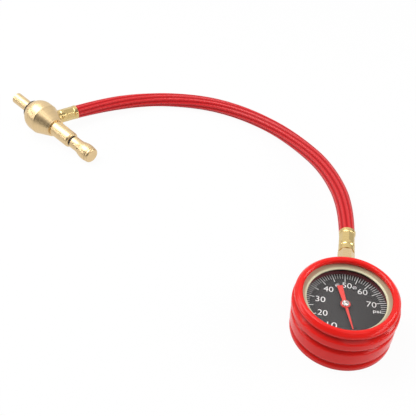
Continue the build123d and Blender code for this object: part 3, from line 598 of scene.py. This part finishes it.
def rubber(name, colour, roughness, gloss, grain_scale, grain_depth):
    """Moulded rubber: a fine grain, slight mottling and an uneven shine."""
    material, tree, shader = new_material(name)
    place = object_place(tree)
    grain = noise(tree, place, grain_scale, 3.0)
    clouds = noise(tree, place, 70.0, 3.0)
    tone = ramp(tree, clouds, [(0.3, 0.97), (0.7, 1.0)])
    tree.links.new(product(tree, colour, tone), shader.inputs["Base Color"])
    shine = ramp(tree, clouds, [(0.3, roughness * 0.95), (0.7, roughness * 1.05)])
    tree.links.new(shine, shader.inputs["Roughness"])
    shader.inputs["Specular IOR Level"].default_value = gloss
    bump(tree, shader, grain, grain_depth, 0.5)
    return material


def painted(name, colour, roughness):
    """Flat paint with a fine powdery grain."""
    grain_depth = 0.01 * MM
    material, tree, shader = new_material(name)
    grain = noise(tree, object_place(tree), 2500.0, 2.0)
    tone = ramp(tree, grain, [(0.3, 0.9), (0.7, 1.0)])
    tree.links.new(product(tree, colour, tone), shader.inputs["Base Color"])
    shader.inputs["Roughness"].default_value = roughness
    bump(tree, shader, grain, grain_depth, 0.4)
    return material


def clear_lens(name):
    """Clear flat glass: see-through head on, with a mirror shine that grows towards grazing views."""
    steepness = 5.0
    grazing_shine = 0.6
    least_shine = 0.012
    material, tree, shader = new_material(name)
    shader.inputs["Metallic"].default_value = 1.0
    shader.inputs["Base Color"].default_value = (1.0, 1.0, 1.0, 1.0)
    shader.inputs["Roughness"].default_value = 0.02
    facing = node(tree, "ShaderNodeLayerWeight", Blend=0.5)
    steep = calculated(tree, "POWER", facing.outputs["Facing"], steepness)
    shine = calculated(tree, "MULTIPLY_ADD", steep, grazing_shine, least_shine)
    tree.links.new(shine, shader.inputs["Alpha"])
    return material


def woven(name, colour, ribs, twist):
    """Ribbed cover of a hose on the piece's own UV map: crossing yarns, and painted shade that darkens
    the colour between the ribs.
    """
    yarns_around = 42
    yarns_along = 420.0
    yarn_depth = 0.02 * MM
    material, tree, shader = new_material(name)
    uv = tree.nodes.new("ShaderNodeUVMap")
    uv.uv_map = "along"
    split = tree.nodes.new("ShaderNodeSeparateXYZ")
    tree.links.new(uv.outputs["UV"], split.inputs["Vector"])

    def slanted(along, around, phase=0.0):
        """A wave from nothing to one with slanting crests, so many of them along and around."""
        first = calculated(tree, "MULTIPLY_ADD", split.outputs["X"], along * 2 * math.pi, phase)
        angle = calculated(tree, "MULTIPLY_ADD", split.outputs["Y"], around * 2 * math.pi, first)
        share = node(tree, "ShaderNodeMapRange")
        share.inputs["From Min"].default_value = -1.0
        tree.links.new(calculated(tree, "SINE", angle), share.inputs["Value"])
        return share.outputs["Result"]

    one_way = slanted(yarns_along, yarns_around)
    other_way = slanted(yarns_along, -yarns_around)
    crossing = calculated(tree, "MAXIMUM", one_way, other_way)
    weave_tone = ramp(tree, crossing, [(0.0, 0.90), (0.9, 1.0)])
    rib = slanted(-twist * ribs, ribs, math.pi / 2)
    # Painted shade: the colour darkens towards the grooves between the ribs
    rib_shade_tone = ramp(tree, rib, [(0.0, 0.62), (0.35, 0.86), (0.8, 1.0)])
    tone = product(tree, weave_tone, rib_shade_tone)
    tree.links.new(product(tree, colour, tone), shader.inputs["Base Color"])
    shader.inputs["Roughness"].default_value = 0.36
    gloss = ramp(tree, rib, [(0.2, 0.10), (0.9, 0.44)])
    tree.links.new(gloss, shader.inputs["Specular IOR Level"])
    bump(tree, shader, crossing, yarn_depth, 0.4)
    return material


class DEFLATOR_OT_finishes(bpy.types.Operator):
    """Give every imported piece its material"""

    bl_idname = "deflator.finishes"
    bl_label = "Finishes"

    def execute(self, context):
        brass = context.scene.deflator_brass
        head_tone = tuple(brass.colour)
        fitting_tone = tuple(brass.fitting_colour)
        bezel_tone = (0.66, 0.63, 0.42, 1.0)
        bronze_tone = (0.66, 0.38, 0.19, 1.0)
        steel_tone = (0.62, 0.62, 0.63, 1.0)
        aluminium_tone = (0.52, 0.51, 0.50, 1.0)
        rubber_black = (0.012, 0.012, 0.013, 1.0)
        spacer_red = (0.16, 0.012, 0.02, 1.0)
        dial_grey = (0.034, 0.032, 0.032, 1.0)
        pointer_red = (0.90, 0.07, 0.055, 1.0)
        clip_black = (0.02, 0.02, 0.022, 1.0)
        up = (0, 0, 1)
        head_brass = turned_metal("head_brass", head_tone, brass.roughness, HEAD_AXIS)
        port_brass = turned_metal("port_brass", fitting_tone, brass.fitting_roughness, PORT_AXIS)
        nut_brass = turned_metal("nut_brass", head_tone, brass.fitting_roughness, STEM_AXIS)
        stem_brass = turned_metal("stem_brass", fitting_tone, brass.fitting_roughness, STEM_AXIS)
        movement_brass = turned_metal("movement_brass", head_tone, 0.3, up)
        bezel_brass = turned_metal("bezel_brass", bezel_tone, 0.50, up)
        bezel_brass.node_tree.nodes["Principled BSDF"].inputs["Metallic"].default_value = 0.2
        bronze = turned_metal("tube_bronze", bronze_tone, 0.36, up)
        steel = turned_metal("screw_steel", steel_tone, 0.28, up)
        head_steel = turned_metal("pin_steel", steel_tone, 0.3, HEAD_AXIS)
        black_rubber = rubber(
            "black_rubber", rubber_black, 0.5, 0.5, grain_scale=3000.0, grain_depth=0.02 * MM
        )
        finishes = {
            turned_metal("case_steel", steel_tone, 0.35, up): ["gauge_case"],
            bezel_brass: ["bezel_ring"],
            clear_lens("lens_glass"): ["lens"],
            black_rubber: [
                "lens_gasket", "front_o_ring", "rear_o_ring",
                "chuck_seal", "plunger_o_ring", "bumper_ring",
            ],
            painted("spacer_red", spacer_red, 0.5): ["dial_spacer"],
            painted("dial_paint", dial_grey, 0.60): ["dial_plate"],
            steel: [
                "dial_screws", "case_screws", "movement_screws",
                "pinion_spindle", "sector_arbor", "link_pins",
            ],
            bronze: ["bourdon_tube", "hairspring"],
            movement_brass: [
                "tube_tip", "movement_back_plate", "movement_front_plate", "movement_pillars",
                "sector_gear", "link", "hairspring_stud",
            ],
            painted("pointer_paint", pointer_red, 0.42): ["pointer"],
            turned_metal("cap_aluminium", aluminium_tone, 0.30, up): ["pointer_cap"],
            nut_brass: ["stem_socket", "stem_nut"],
            stem_brass: ["gauge_hose_insert", "gauge_ferrule"],
            port_brass: ["head_hose_insert", "head_ferrule"],
            head_brass: [
                "valve_housing", "core_tube", "tube_end_cap",
                "plunger_rod", "core_gripper", "plunger_knob",
            ],
            painted("clip_black", clip_black, 0.38): ["retaining_clip"],
            head_steel: ["knob_pin"],
        }
        for material, names in finishes.items():
            for name in names:
                mesh = NODES[name].data
                mesh.materials.clear()
                mesh.materials.append(material)
        return {"FINISHED"}


class DEFLATOR_OT_boot(bpy.types.Operator):
    """Mould the gauge's rubber boot"""

    bl_idname = "deflator.boot"
    bl_label = "Rubber boot"
    columns = 240

    def execute(self, context):
        boot = context.scene.deflator_boot
        outline = np.vstack([self.ribbed_wall(boot), self.leaning_lip(boot), self.cavity()])
        mesh = grid_mesh("moulded_boot", revolved(outline, self.columns))
        mesh.set_sharp_from_angle(angle=SHARP_ANGLE)
        skin = rubber(
            "boot_rubber",
            tuple(boot.colour),
            boot.roughness,
            boot.gloss,
            grain_scale=1800.0,
            grain_depth=0.015 * MM,
        )
        # Painted shade: the skin's colour is darkened in the grooves
        self.darken_grooves(skin)
        piece = add_piece("moulded_boot", mesh, "gauge", skin)
        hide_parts("rubber_boot")
        return {"FINISHED"}

    def darken_grooves(self, skin):
        """Painted shade: the skin's colour darkens below the lip where it lies nearer the gauge's axis
        than the bands do, standing in for the shade in the grooves.
        """
        groove_radius = 0.0338
        band_radius = 0.0364
        lip_level = 0.0335
        groove_shade_tone = 0.55
        tree = skin.node_tree
        shader = tree.nodes["Principled BSDF"]
        place = object_place(tree)
        level = tree.nodes.new("ShaderNodeVectorMath")
        level.operation = "MULTIPLY"
        level.inputs[1].default_value = (1.0, 1.0, 0.0)
        tree.links.new(place, level.inputs[0])
        distance = tree.nodes.new("ShaderNodeVectorMath")
        distance.operation = "LENGTH"
        tree.links.new(level.outputs["Vector"], distance.inputs[0])
        reach = tree.nodes.new("ShaderNodeMapRange")
        reach.inputs["From Min"].default_value = groove_radius
        reach.inputs["From Max"].default_value = band_radius
        tree.links.new(distance.outputs["Value"], reach.inputs["Value"])
        side = tree.nodes.new("ShaderNodeSeparateXYZ")
        tree.links.new(place, side.inputs["Vector"])
        above = calculated(tree, "GREATER_THAN", side.outputs["Z"], lip_level)
        unshaded_share = calculated(tree, "MAXIMUM", reach.outputs["Result"], above)
        # Painted shade: the colour falls to the groove shade's tone where the skin lies in a groove
        tone = ramp(tree, unshaded_share, [(0.0, groove_shade_tone), (1.0, 1.0)])
        skin_colour = shader.inputs["Base Color"].links[0].from_socket
        tree.links.new(product(tree, skin_colour, tone), shader.inputs["Base Color"])

    def ribbed_wall(self, boot):
        """Foot, bands and grooves: straight runs of radius and level, each corner rounded by an arc.

        An arc starts and ends at its radius times the tangent of half the turn from the corner.
        """
        foot, foot_top = boot.foot
        low, low_start, low_end = boot.lower_band
        high, high_start, high_end = boot.upper_band
        low_groove, middle_groove, top_groove = GROOVES
        rise = 1.2 * MM
        corners = np.array([
            (0.0, 0.0), (foot, 0.0), (foot, foot_top), low_groove, (low, low_start), (low, low_end),
            middle_groove, (high, high_start), (high, high_end), top_groove,
            (top_groove[0], top_groove[1] + rise),
        ])
        heel = 1.2
        shoulder = 2.4
        hollow = 0.5
        arc_points = 9
        band_radii = [shoulder, hollow, shoulder] * 2
        radii = np.array([heel, *band_radii, shoulder, hollow]) * MM
        before = corners[:-2] - corners[1:-1]
        after = corners[2:] - corners[1:-1]
        before /= np.linalg.norm(before, axis=1)[:, None]
        after /= np.linalg.norm(after, axis=1)[:, None]
        half_open = np.arccos(np.clip((before * after).sum(axis=1), -1.0, 1.0)) / 2
        middle = before + after
        middle /= np.linalg.norm(middle, axis=1)[:, None]
        centre = corners[1:-1] + middle * (radii / np.sin(half_open))[:, None]
        sweep = np.pi / 2 - half_open
        share = np.linspace(-1.0, 1.0, arc_points)
        along = np.stack([-middle[:, 1], middle[:, 0]], axis=1)
        side = np.sign((along * after).sum(axis=1))
        angle = sweep[:, None] * share[None, :] * side[:, None]
        inward = np.cos(angle)[..., None] * middle[:, None, :]
        sideways = np.sin(angle)[..., None] * along[:, None, :]
        arcs = centre[:, None, :] + radii[:, None, None] * (sideways - inward)
        return np.vstack([corners[:1], arcs.reshape(-1, 2)])

    def leaning_lip(self, boot):
        """A capsule's outline: half circles about two centres set apart along the lip's lean.

        It runs from where the capsule leaves the wall, over the top and in to the bezel.
        """
        radius = boot.lip_thickness / 2
        reach = boot.lip_length / 2 - radius
        lean = boot.lip_lean
        along = np.array([math.cos(lean), -math.sin(lean)])
        wall_angle = -71.0
        bezel_angle = 224.0
        points = 72
        angle = np.radians(np.linspace(wall_angle, bezel_angle, points))
        outer = (angle < math.pi / 2 - lean)[:, None]
        centre = np.array(boot.lip_place) + np.where(outer, reach, -reach) * along
        return centre + radius * np.stack([np.cos(angle), np.sin(angle)], axis=1)

    def cavity(self):
        """The inside that grips the bezel and the case, down to the boot's floor.

        Its corners are straight, each a radius and a level.
        """
        return np.array([
            (31.5, 33.2), (33.15, 33.2), (33.15, 26.1), (32.05, 26.1), (32.05, 2.5), (0.0, 2.5),
        ]) * MM


class DEFLATOR_OT_pointer_hub(bpy.types.Operator):
    """Turn the pointer's wide boss and its fluted cap"""

    bl_idname = "deflator.pointer_hub"
    bl_label = "Pointer hub"
    boss_columns = 72
    cap_columns = 96
    cap_rings = 14

    def execute(self, context):
        hub = context.scene.deflator_hub
        low_corner, high_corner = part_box("pointer")
        start = low_corner[2]
        top = high_corner[2] + hub.overlap
        edge = hub.edge
        boss = np.array([
            (0.0, start), (hub.boss_radius - edge, start), (hub.boss_radius, start + edge),
            (hub.boss_radius, top - edge), (hub.boss_radius - edge, top), (0.0, top),
        ])
        boss_mesh = grid_mesh("pointer_boss", revolved(boss, self.boss_columns))
        boss_mesh.set_sharp_from_angle(angle=SHARP_ANGLE)
        paint = NODES["pointer"].data.materials[0]
        add_piece("pointer_boss", boss_mesh, "pointer", paint)
        cap_mesh = grid_mesh("fluted_cap", self.cap_grid(hub, top))
        metal = turned_metal("hub_aluminium", tuple(hub.colour), hub.roughness, (0, 0, 1))
        cap = add_piece("fluted_cap", cap_mesh, "pointer", metal)
        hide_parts("pointer_cap")
        return {"FINISHED"}

    def cap_grid(self, hub, bottom):
        """A low dome: its level falls with the square of the radius, and in the flutes it falls more.

        A flute is deepest where the cosine of its angle is one and half way out from the middle.
        """
        share = np.linspace(1.0, 0.0, self.cap_rings)
        rim_drop = 0.35
        level = bottom + hub.cap_height * (1.0 - rim_drop * share**2)
        outline = np.stack([hub.cap_radius * share, level], axis=1)
        foot = np.array([(0.0, bottom), (hub.cap_radius, bottom)])
        grid = revolved(np.vstack([foot, outline]), self.cap_columns)
        turn = 2 * np.pi * np.arange(self.cap_columns) / self.cap_columns
        bell = np.sin(np.pi * share)[:, None] * (1 + np.cos(hub.flutes * turn))[None, :] / 2
        grid[len(foot):, :, 2] -= hub.flute_depth * bell
        return grid


class DEFLATOR_OT_dial_print(bpy.types.Operator):
    """Print the scale's marks and numbers on the dial"""

    bl_idname = "deflator.dial_print"
    bl_label = "Dial print"

    def execute(self, context):
        dial = context.scene.deflator_dial
        ink = painted("dial_ink", tuple(dial.ink), 0.5)
        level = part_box("dial_plate")[1][2]
        steps = np.arange(dial.divisions + 1)
        angles = dial.zero_angle + dial.sweep * steps / dial.divisions
        is_long = steps % LONG_MARK_EVERY == 0
        inner = np.where(is_long, dial.mark_long, dial.mark_short)
        half = np.where(is_long, LONG_MARK_HALF_WIDTH, SHORT_MARK_HALF_WIDTH)
        self.print_marks(angles, inner, half, level, dial, ink)
        numeral = (dial.numeral_width, dial.numeral_height)
        for value, place in NUMERAL_PLACES.items():
            name = f"dial_number_{value}"
            self.print_text(name, str(value), place, numeral, NUMBER_SWELL, level, dial, ink)
        unit = (dial.unit_width, dial.unit_height)
        self.print_text("dial_unit", "psi", UNIT_PLACE, unit, UNIT_SWELL, level, dial, ink)
        return {"FINISHED"}

    def print_marks(self, angles, inner, half, level, dial, ink):
        """Every mark is a thin bar with upright sides.

        Its four corners come from its two radii and its half width, turned clockwise from the stem by
        its angle. They stand at the dial's level and again on top of the ink.
        """
        outer = np.full_like(inner, dial.mark_outer)
        radial = np.stack([inner, inner, outer, outer], 1)
        across = np.stack([-half, half, half, -half], 1)
        out = np.stack([np.sin(angles), np.cos(angles)], 1)[:, None, :]
        side = np.stack([np.cos(angles), -np.sin(angles)], 1)[:, None, :]
        flat = radial[..., None] * out + across[..., None] * side
        count = len(angles)
        points = np.empty((count, 8, 3))
        points[:, :4, :2] = flat
        points[:, 4:, :2] = flat
        points[:, :4, 2] = level
        points[:, 4:, 2] = level + dial.print_height
        corner_faces = np.array(
            [[0, 1, 2, 3], [7, 6, 5, 4], [0, 4, 5, 1], [1, 5, 6, 2], [2, 6, 7, 3], [3, 7, 4, 0]]
        )
        faces = (corner_faces[None] + 8 * np.arange(count)[:, None, None]).reshape(-1, 4)
        mesh = bpy.data.meshes.new("dial_marks")
        mesh.from_pydata(points.reshape(-1, 3).tolist(), [], faces.tolist())
        face_outward(mesh)
        add_piece("dial_marks", mesh, "gauge", ink)

    def print_text(self, name, words, centre, size, swell, level, dial, ink):
        """A word as raised ink of a width and height, its strokes swollen, centred on a place."""
        curve = bpy.data.curves.new(name, "FONT")
        curve.body = words
        curve.extrude = 0.5
        curve.offset = swell
        mesh = mesh_of(name + "_type", curve)
        place = vertex_places(mesh)
        low = place.min(axis=0)
        share = (place - low) / (place.max(axis=0) - low)
        extent = np.array([size[0], size[1], dial.print_height])
        start = np.array([centre[0] - size[0] / 2, centre[1] - size[1] / 2, level])
        place = start + share * extent
        mesh.vertices.foreach_set("co", place.ravel())
        add_piece(name, mesh, "gauge", ink)


class DEFLATOR_OT_hose(bpy.types.Operator):
    """Lay the woven hose along its route"""

    bl_idname = "deflator.hose"
    bl_label = "Woven hose"

    def execute(self, context):
        hose = context.scene.deflator_hose
        path = self.centre_line()
        steps = np.linalg.norm(np.diff(path, axis=0), axis=1)
        distance = np.concatenate([[0.0], np.cumsum(steps)])
        mesh = self.tube_mesh(path, distance, hose)
        weave = woven("hose_weave", tuple(hose.colour), hose.rib_count, hose.rib_twist)
        piece = add_piece("woven_hose", mesh, "gauge", weave)
        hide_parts("hose")
        return {"FINISHED"}

    def centre_line(self):
        """Points read from a quadratic spline whose control points are the route's."""
        route = [HEAD_COLLAR, HEAD_COLLAR + PORT_AXIS * HEAD_RUN, *ROUTE_POINTS]
        route += [STEM_COLLAR + STEM_AXIS * STEM_RUN, STEM_COLLAR]
        curve = bpy.data.curves.new("hose_route", "CURVE")
        curve.dimensions = "3D"
        spline = curve.splines.new("NURBS")
        spline.points.add(len(route) - 1)
        for point, place in zip(spline.points, route):
            point.co = (*place, 1.0)
        spline.order_u = 3
        spline.use_endpoint_u = True
        spline.resolution_u = 64
        line = mesh_of("hose_route", curve)
        path = vertex_places(line)
        bpy.data.meshes.remove(line)
        return path

    def tube_mesh(self, path, distance, hose):
        """A ribbed tube: at each station along the path a circle stands square to it.

        Its radius is lessened between ribs by half the rib depth times one minus the cosine of the rib
        angle, which turns slowly with the station. Inside a ferrule the circle is squeezed smaller and
        has no ribs. Each end folds in to a bore that ends in a disc.
        """
        station_count = 640
        columns_per_rib = 12
        step = 0.8 * MM
        length = distance[-1]
        radius = hose.diameter / 2
        stations = np.linspace(0.0, length, station_count)
        from_end = np.minimum(stations, length - stations)
        skin = np.interp(
            from_end,
            [hose.crimp_end, hose.mouth_start, hose.full_start],
            [hose.crimp_radius, hose.mouth_radius, radius],
        )
        rib_share = np.interp(from_end, [hose.mouth_start, hose.rib_start], [0.0, 1.0])
        bore = np.array([hose.bore_depth, hose.bore_depth, hose.bore_depth, 0.0, 0.0])
        rim = (hose.crimp_radius + hose.bore) / 2
        bore_radii = np.array([0.0, hose.bore * 0.5, hose.bore, hose.bore, rim])
        station = np.concatenate([bore, stations, length - bore[::-1]])
        plain = np.concatenate([bore_radii, skin, bore_radii[::-1]])
        unribbed = np.zeros(len(bore))
        ribbed = np.concatenate([unribbed, rib_share, unribbed])

        def along_path(reach):
            """The path's places at some distances from its start."""
            return np.stack([np.interp(reach, distance, path[:, k]) for k in range(3)], 1)

        centre = along_path(station)
        tangent = along_path(station + step) - along_path(station - step)
        tangent /= np.linalg.norm(tangent, axis=1)[:, None]
        side = np.cross(tangent, np.array([0.0, 0.0, 1.0]))
        side /= np.linalg.norm(side, axis=1)[:, None]
        upward = np.cross(side, tangent)
        columns = hose.rib_count * columns_per_rib
        turn = 2 * np.pi * np.arange(columns) / columns
        twist = hose.rib_twist * 2 * np.pi * hose.rib_count * (station[:, None] / length)
        rib_angle = hose.rib_count * turn[None, :] - twist
        depth = hose.rib_depth / 2 * (1 - np.cos(rib_angle)) * ribbed[:, None]
        across = plain[:, None] - depth
        sideways = np.cos(turn)[None, :, None] * side[:, None, :]
        upwards = np.sin(turn)[None, :, None] * upward[:, None, :]
        grid = centre[:, None, :] + across[..., None] * (sideways + upwards)
        along_share = np.broadcast_to(station[:, None] / length, across.shape)
        around_share = np.broadcast_to(turn[None, :] / (2 * np.pi), across.shape)
        uv = np.stack([along_share, around_share], axis=-1)
        return grid_mesh("woven_hose", grid, uv=uv)


class DEFLATOR_OT_stage(bpy.types.Operator):
    """Set the floor, the lamps, the world and the camera"""

    bl_idname = "deflator.stage"
    bl_label = "Stage"

    def execute(self, context):
        stage = context.scene.deflator_stage
        self.floor()
        self.world(stage)
        target = Vector((-0.10, 0.10, 0.01))
        gauge = Vector((0.0, 0.0, 0.02))
        self.lamp("key_lamp", (-0.62, 0.20, 0.92), target, (0.75, 0.75), stage.key_power)
        self.lamp("fill_lamp", (0.75, 0.20, 0.50), target, (0.40, 0.40), stage.fill_power)
        self.lamp("front_lamp", (0.35, -0.55, 0.95), target, (0.70, 0.70), stage.front_power)
        self.lamp("left_low_lamp", (-1.0, -0.10, 0.30), gauge, (1.0, 0.10), stage.low_power)
        self.lamp("right_low_lamp", (0.95, -0.30, 0.36), gauge, (1.0, 0.10), stage.low_power)
        self.camera(stage)
        context.scene.view_settings.view_transform = "Standard"
        return {"FINISHED"}

    def floor(self):
        """A wide pale sheet under the object that glows white to the camera and keeps a soft shadow."""
        reach = 3.0
        line_count = 9
        glow_share = 0.95
        paleness = 0.60
        paleness_to_camera = 0.80
        lines = np.linspace(-reach, reach, line_count)
        across, along = np.meshgrid(lines, lines, indexing="ij")
        grid = np.stack([across, along, np.zeros_like(across)], axis=-1)
        mesh = grid_mesh("floor", grid, wrapped=False)
        piece = bpy.data.objects.new("floor", mesh)
        bpy.context.scene.collection.objects.link(piece)
        material = bpy.data.materials.new("floor_white")
        material.use_nodes = True
        tree = material.node_tree
        tree.nodes.remove(tree.nodes["Principled BSDF"])
        to_camera = self.shown_to(tree, CAMERA_RAYS)
        tone = calculated(tree, "MULTIPLY_ADD", to_camera, paleness_to_camera - paleness, paleness)
        diffuse = tree.nodes.new("ShaderNodeBsdfDiffuse")
        tree.links.new(tone, diffuse.inputs["Color"])
        glow = node(tree, "ShaderNodeEmission", Color=(1.0, 1.0, 1.0, 1.0), Strength=1.0)
        mix = tree.nodes.new("ShaderNodeMixShader")
        seen = self.shown_to(tree, CAMERA_RAYS + MIRROR_RAYS)
        tree.links.new(calculated(tree, "MULTIPLY", seen, glow_share), mix.inputs["Fac"])
        tree.links.new(diffuse.outputs["BSDF"], mix.inputs[1])
        tree.links.new(glow.outputs["Emission"], mix.inputs[2])
        tree.links.new(mix.outputs["Shader"], tree.nodes["Material Output"].inputs["Surface"])
        mesh.materials.append(material)

    def shown_to(self, tree, kinds):
        """One for a ray of any of the kinds named, and nothing for the others."""
        rays = tree.nodes.new("ShaderNodeLightPath")
        total = rays.outputs[kinds[0]]
        for name in kinds[1:]:
            total = calculated(tree, "MAXIMUM", total, rays.outputs[name])
        return total

    def world(self, stage):
        """White to the camera, a room bright at the back to metal and glass, even light elsewhere."""
        bright_side = (-0.25, 0.76, 0.60)
        world = bpy.data.worlds.new("studio")
        bpy.context.scene.world = world
        world.use_nodes = True
        tree = world.node_tree
        ambient = tree.nodes["Background"]
        ambient.inputs["Color"].default_value = (1.0, 1.0, 1.0, 1.0)
        ambient.inputs["Strength"].default_value = stage.world_light
        place = tree.nodes.new("ShaderNodeTexCoord")
        towards = tree.nodes.new("ShaderNodeVectorMath")
        towards.operation = "DOT_PRODUCT"
        towards.inputs[1].default_value = bright_side
        tree.links.new(place.outputs["Generated"], towards.inputs[0])
        stops = [(0.0, 0.04), (0.3, 0.30), (0.6, 0.70), (0.85, 1.0)]
        tone = ramp(tree, towards.outputs["Value"], stops)
        room = tree.nodes.new("ShaderNodeBackground")
        tree.links.new(tone, room.inputs["Color"])
        mirrored = tree.nodes.new("ShaderNodeMixShader")
        tree.links.new(self.shown_to(tree, MIRROR_RAYS), mirrored.inputs["Fac"])
        tree.links.new(ambient.outputs["Background"], mirrored.inputs[1])
        tree.links.new(room.outputs["Background"], mirrored.inputs[2])
        white = node(tree, "ShaderNodeBackground", Color=(1.0, 1.0, 1.0, 1.0), Strength=1.0)
        mix = tree.nodes.new("ShaderNodeMixShader")
        tree.links.new(self.shown_to(tree, CAMERA_RAYS), mix.inputs["Fac"])
        tree.links.new(mirrored.outputs["Shader"], mix.inputs[1])
        tree.links.new(white.outputs["Background"], mix.inputs[2])
        tree.links.new(mix.outputs["Shader"], tree.nodes["World Output"].inputs["Surface"])

    def lamp(self, name, place, target, size, power):
        """A soft box of a width and height that faces a target."""
        light = bpy.data.lights.new(name, "AREA")
        light.shape = "RECTANGLE"
        light.size, light.size_y = size
        light.energy = power
        lamp = bpy.data.objects.new(name, light)
        lamp.location = place
        lamp.rotation_euler = (target - Vector(place)).to_track_quat("-Z", "Y").to_euler()
        bpy.context.scene.collection.objects.link(lamp)

    def camera(self, stage):
        """The photograph's viewpoint, from the ellipses of the boot and the dial."""
        lens = bpy.data.cameras.new("camera")
        lens.lens = stage.lens
        lens.sensor_width = 36.0
        lens.clip_start = 0.01
        lens.clip_end = 20.0
        camera = bpy.data.objects.new("camera", lens)
        right = Vector((0.98443, 0.17483, 0.01825))
        down = Vector((0.13213, -0.66747, -0.73282))
        ahead = Vector((-0.11594, 0.72382, -0.68017))
        place = Vector((-44.79, -322.64, 402.12)) * MM
        turn = Matrix((right, -down, -ahead)).transposed()
        camera.matrix_world = Matrix.Translation(place) @ turn.to_4x4()
        bpy.context.scene.collection.objects.link(camera)
        bpy.context.scene.camera = camera


class DEFLATOR_PT_panel(bpy.types.Panel):
    """Lists the steps that dress the deflator"""

    bl_idname = "DEFLATOR_PT_panel"
    bl_label = "Tire deflator"
    bl_space_type = "VIEW_3D"
    bl_region_type = "UI"
    bl_category = "Deflator"

    def draw(self, context):
        for operator in OPERATORS:
            self.layout.operator(operator.bl_idname)


SETTINGS = {
    "deflator_dial": DialSettings,
    "deflator_hose": HoseSettings,
    "deflator_boot": BootSettings,
    "deflator_hub": HubSettings,
    "deflator_brass": BrassSettings,
    "deflator_stage": StageSettings,
}
OPERATORS = (
    DEFLATOR_OT_stage,
    DEFLATOR_OT_finishes,
    DEFLATOR_OT_hose,
    DEFLATOR_OT_boot,
    DEFLATOR_OT_pointer_hub,
    DEFLATOR_OT_dial_print,
)


def register():
    """Registers the settings, the operators and the panel."""
    for name, group in SETTINGS.items():
        bpy.utils.register_class(group)
        setattr(bpy.types.Scene, name, PointerProperty(type=group))
    for operator in OPERATORS:
        bpy.utils.register_class(operator)
    bpy.utils.register_class(DEFLATOR_PT_panel)


def unregister():
    """Removes them in the opposite order."""
    bpy.utils.unregister_class(DEFLATOR_PT_panel)
    for operator in reversed(OPERATORS):
        bpy.utils.unregister_class(operator)
    for name, group in reversed(SETTINGS.items()):
        delattr(bpy.types.Scene, name)
        bpy.utils.unregister_class(group)


def main():
    """Dresses the frame."""
    register()
    bpy.ops.deflator.stage()
    bpy.ops.deflator.finishes()
    bpy.ops.deflator.hose()
    bpy.ops.deflator.boot()
    bpy.ops.deflator.pointer_hub()
    bpy.ops.deflator.dial_print()
    bpy.context.view_layer.update()


if __name__ == "__main__":
    main()
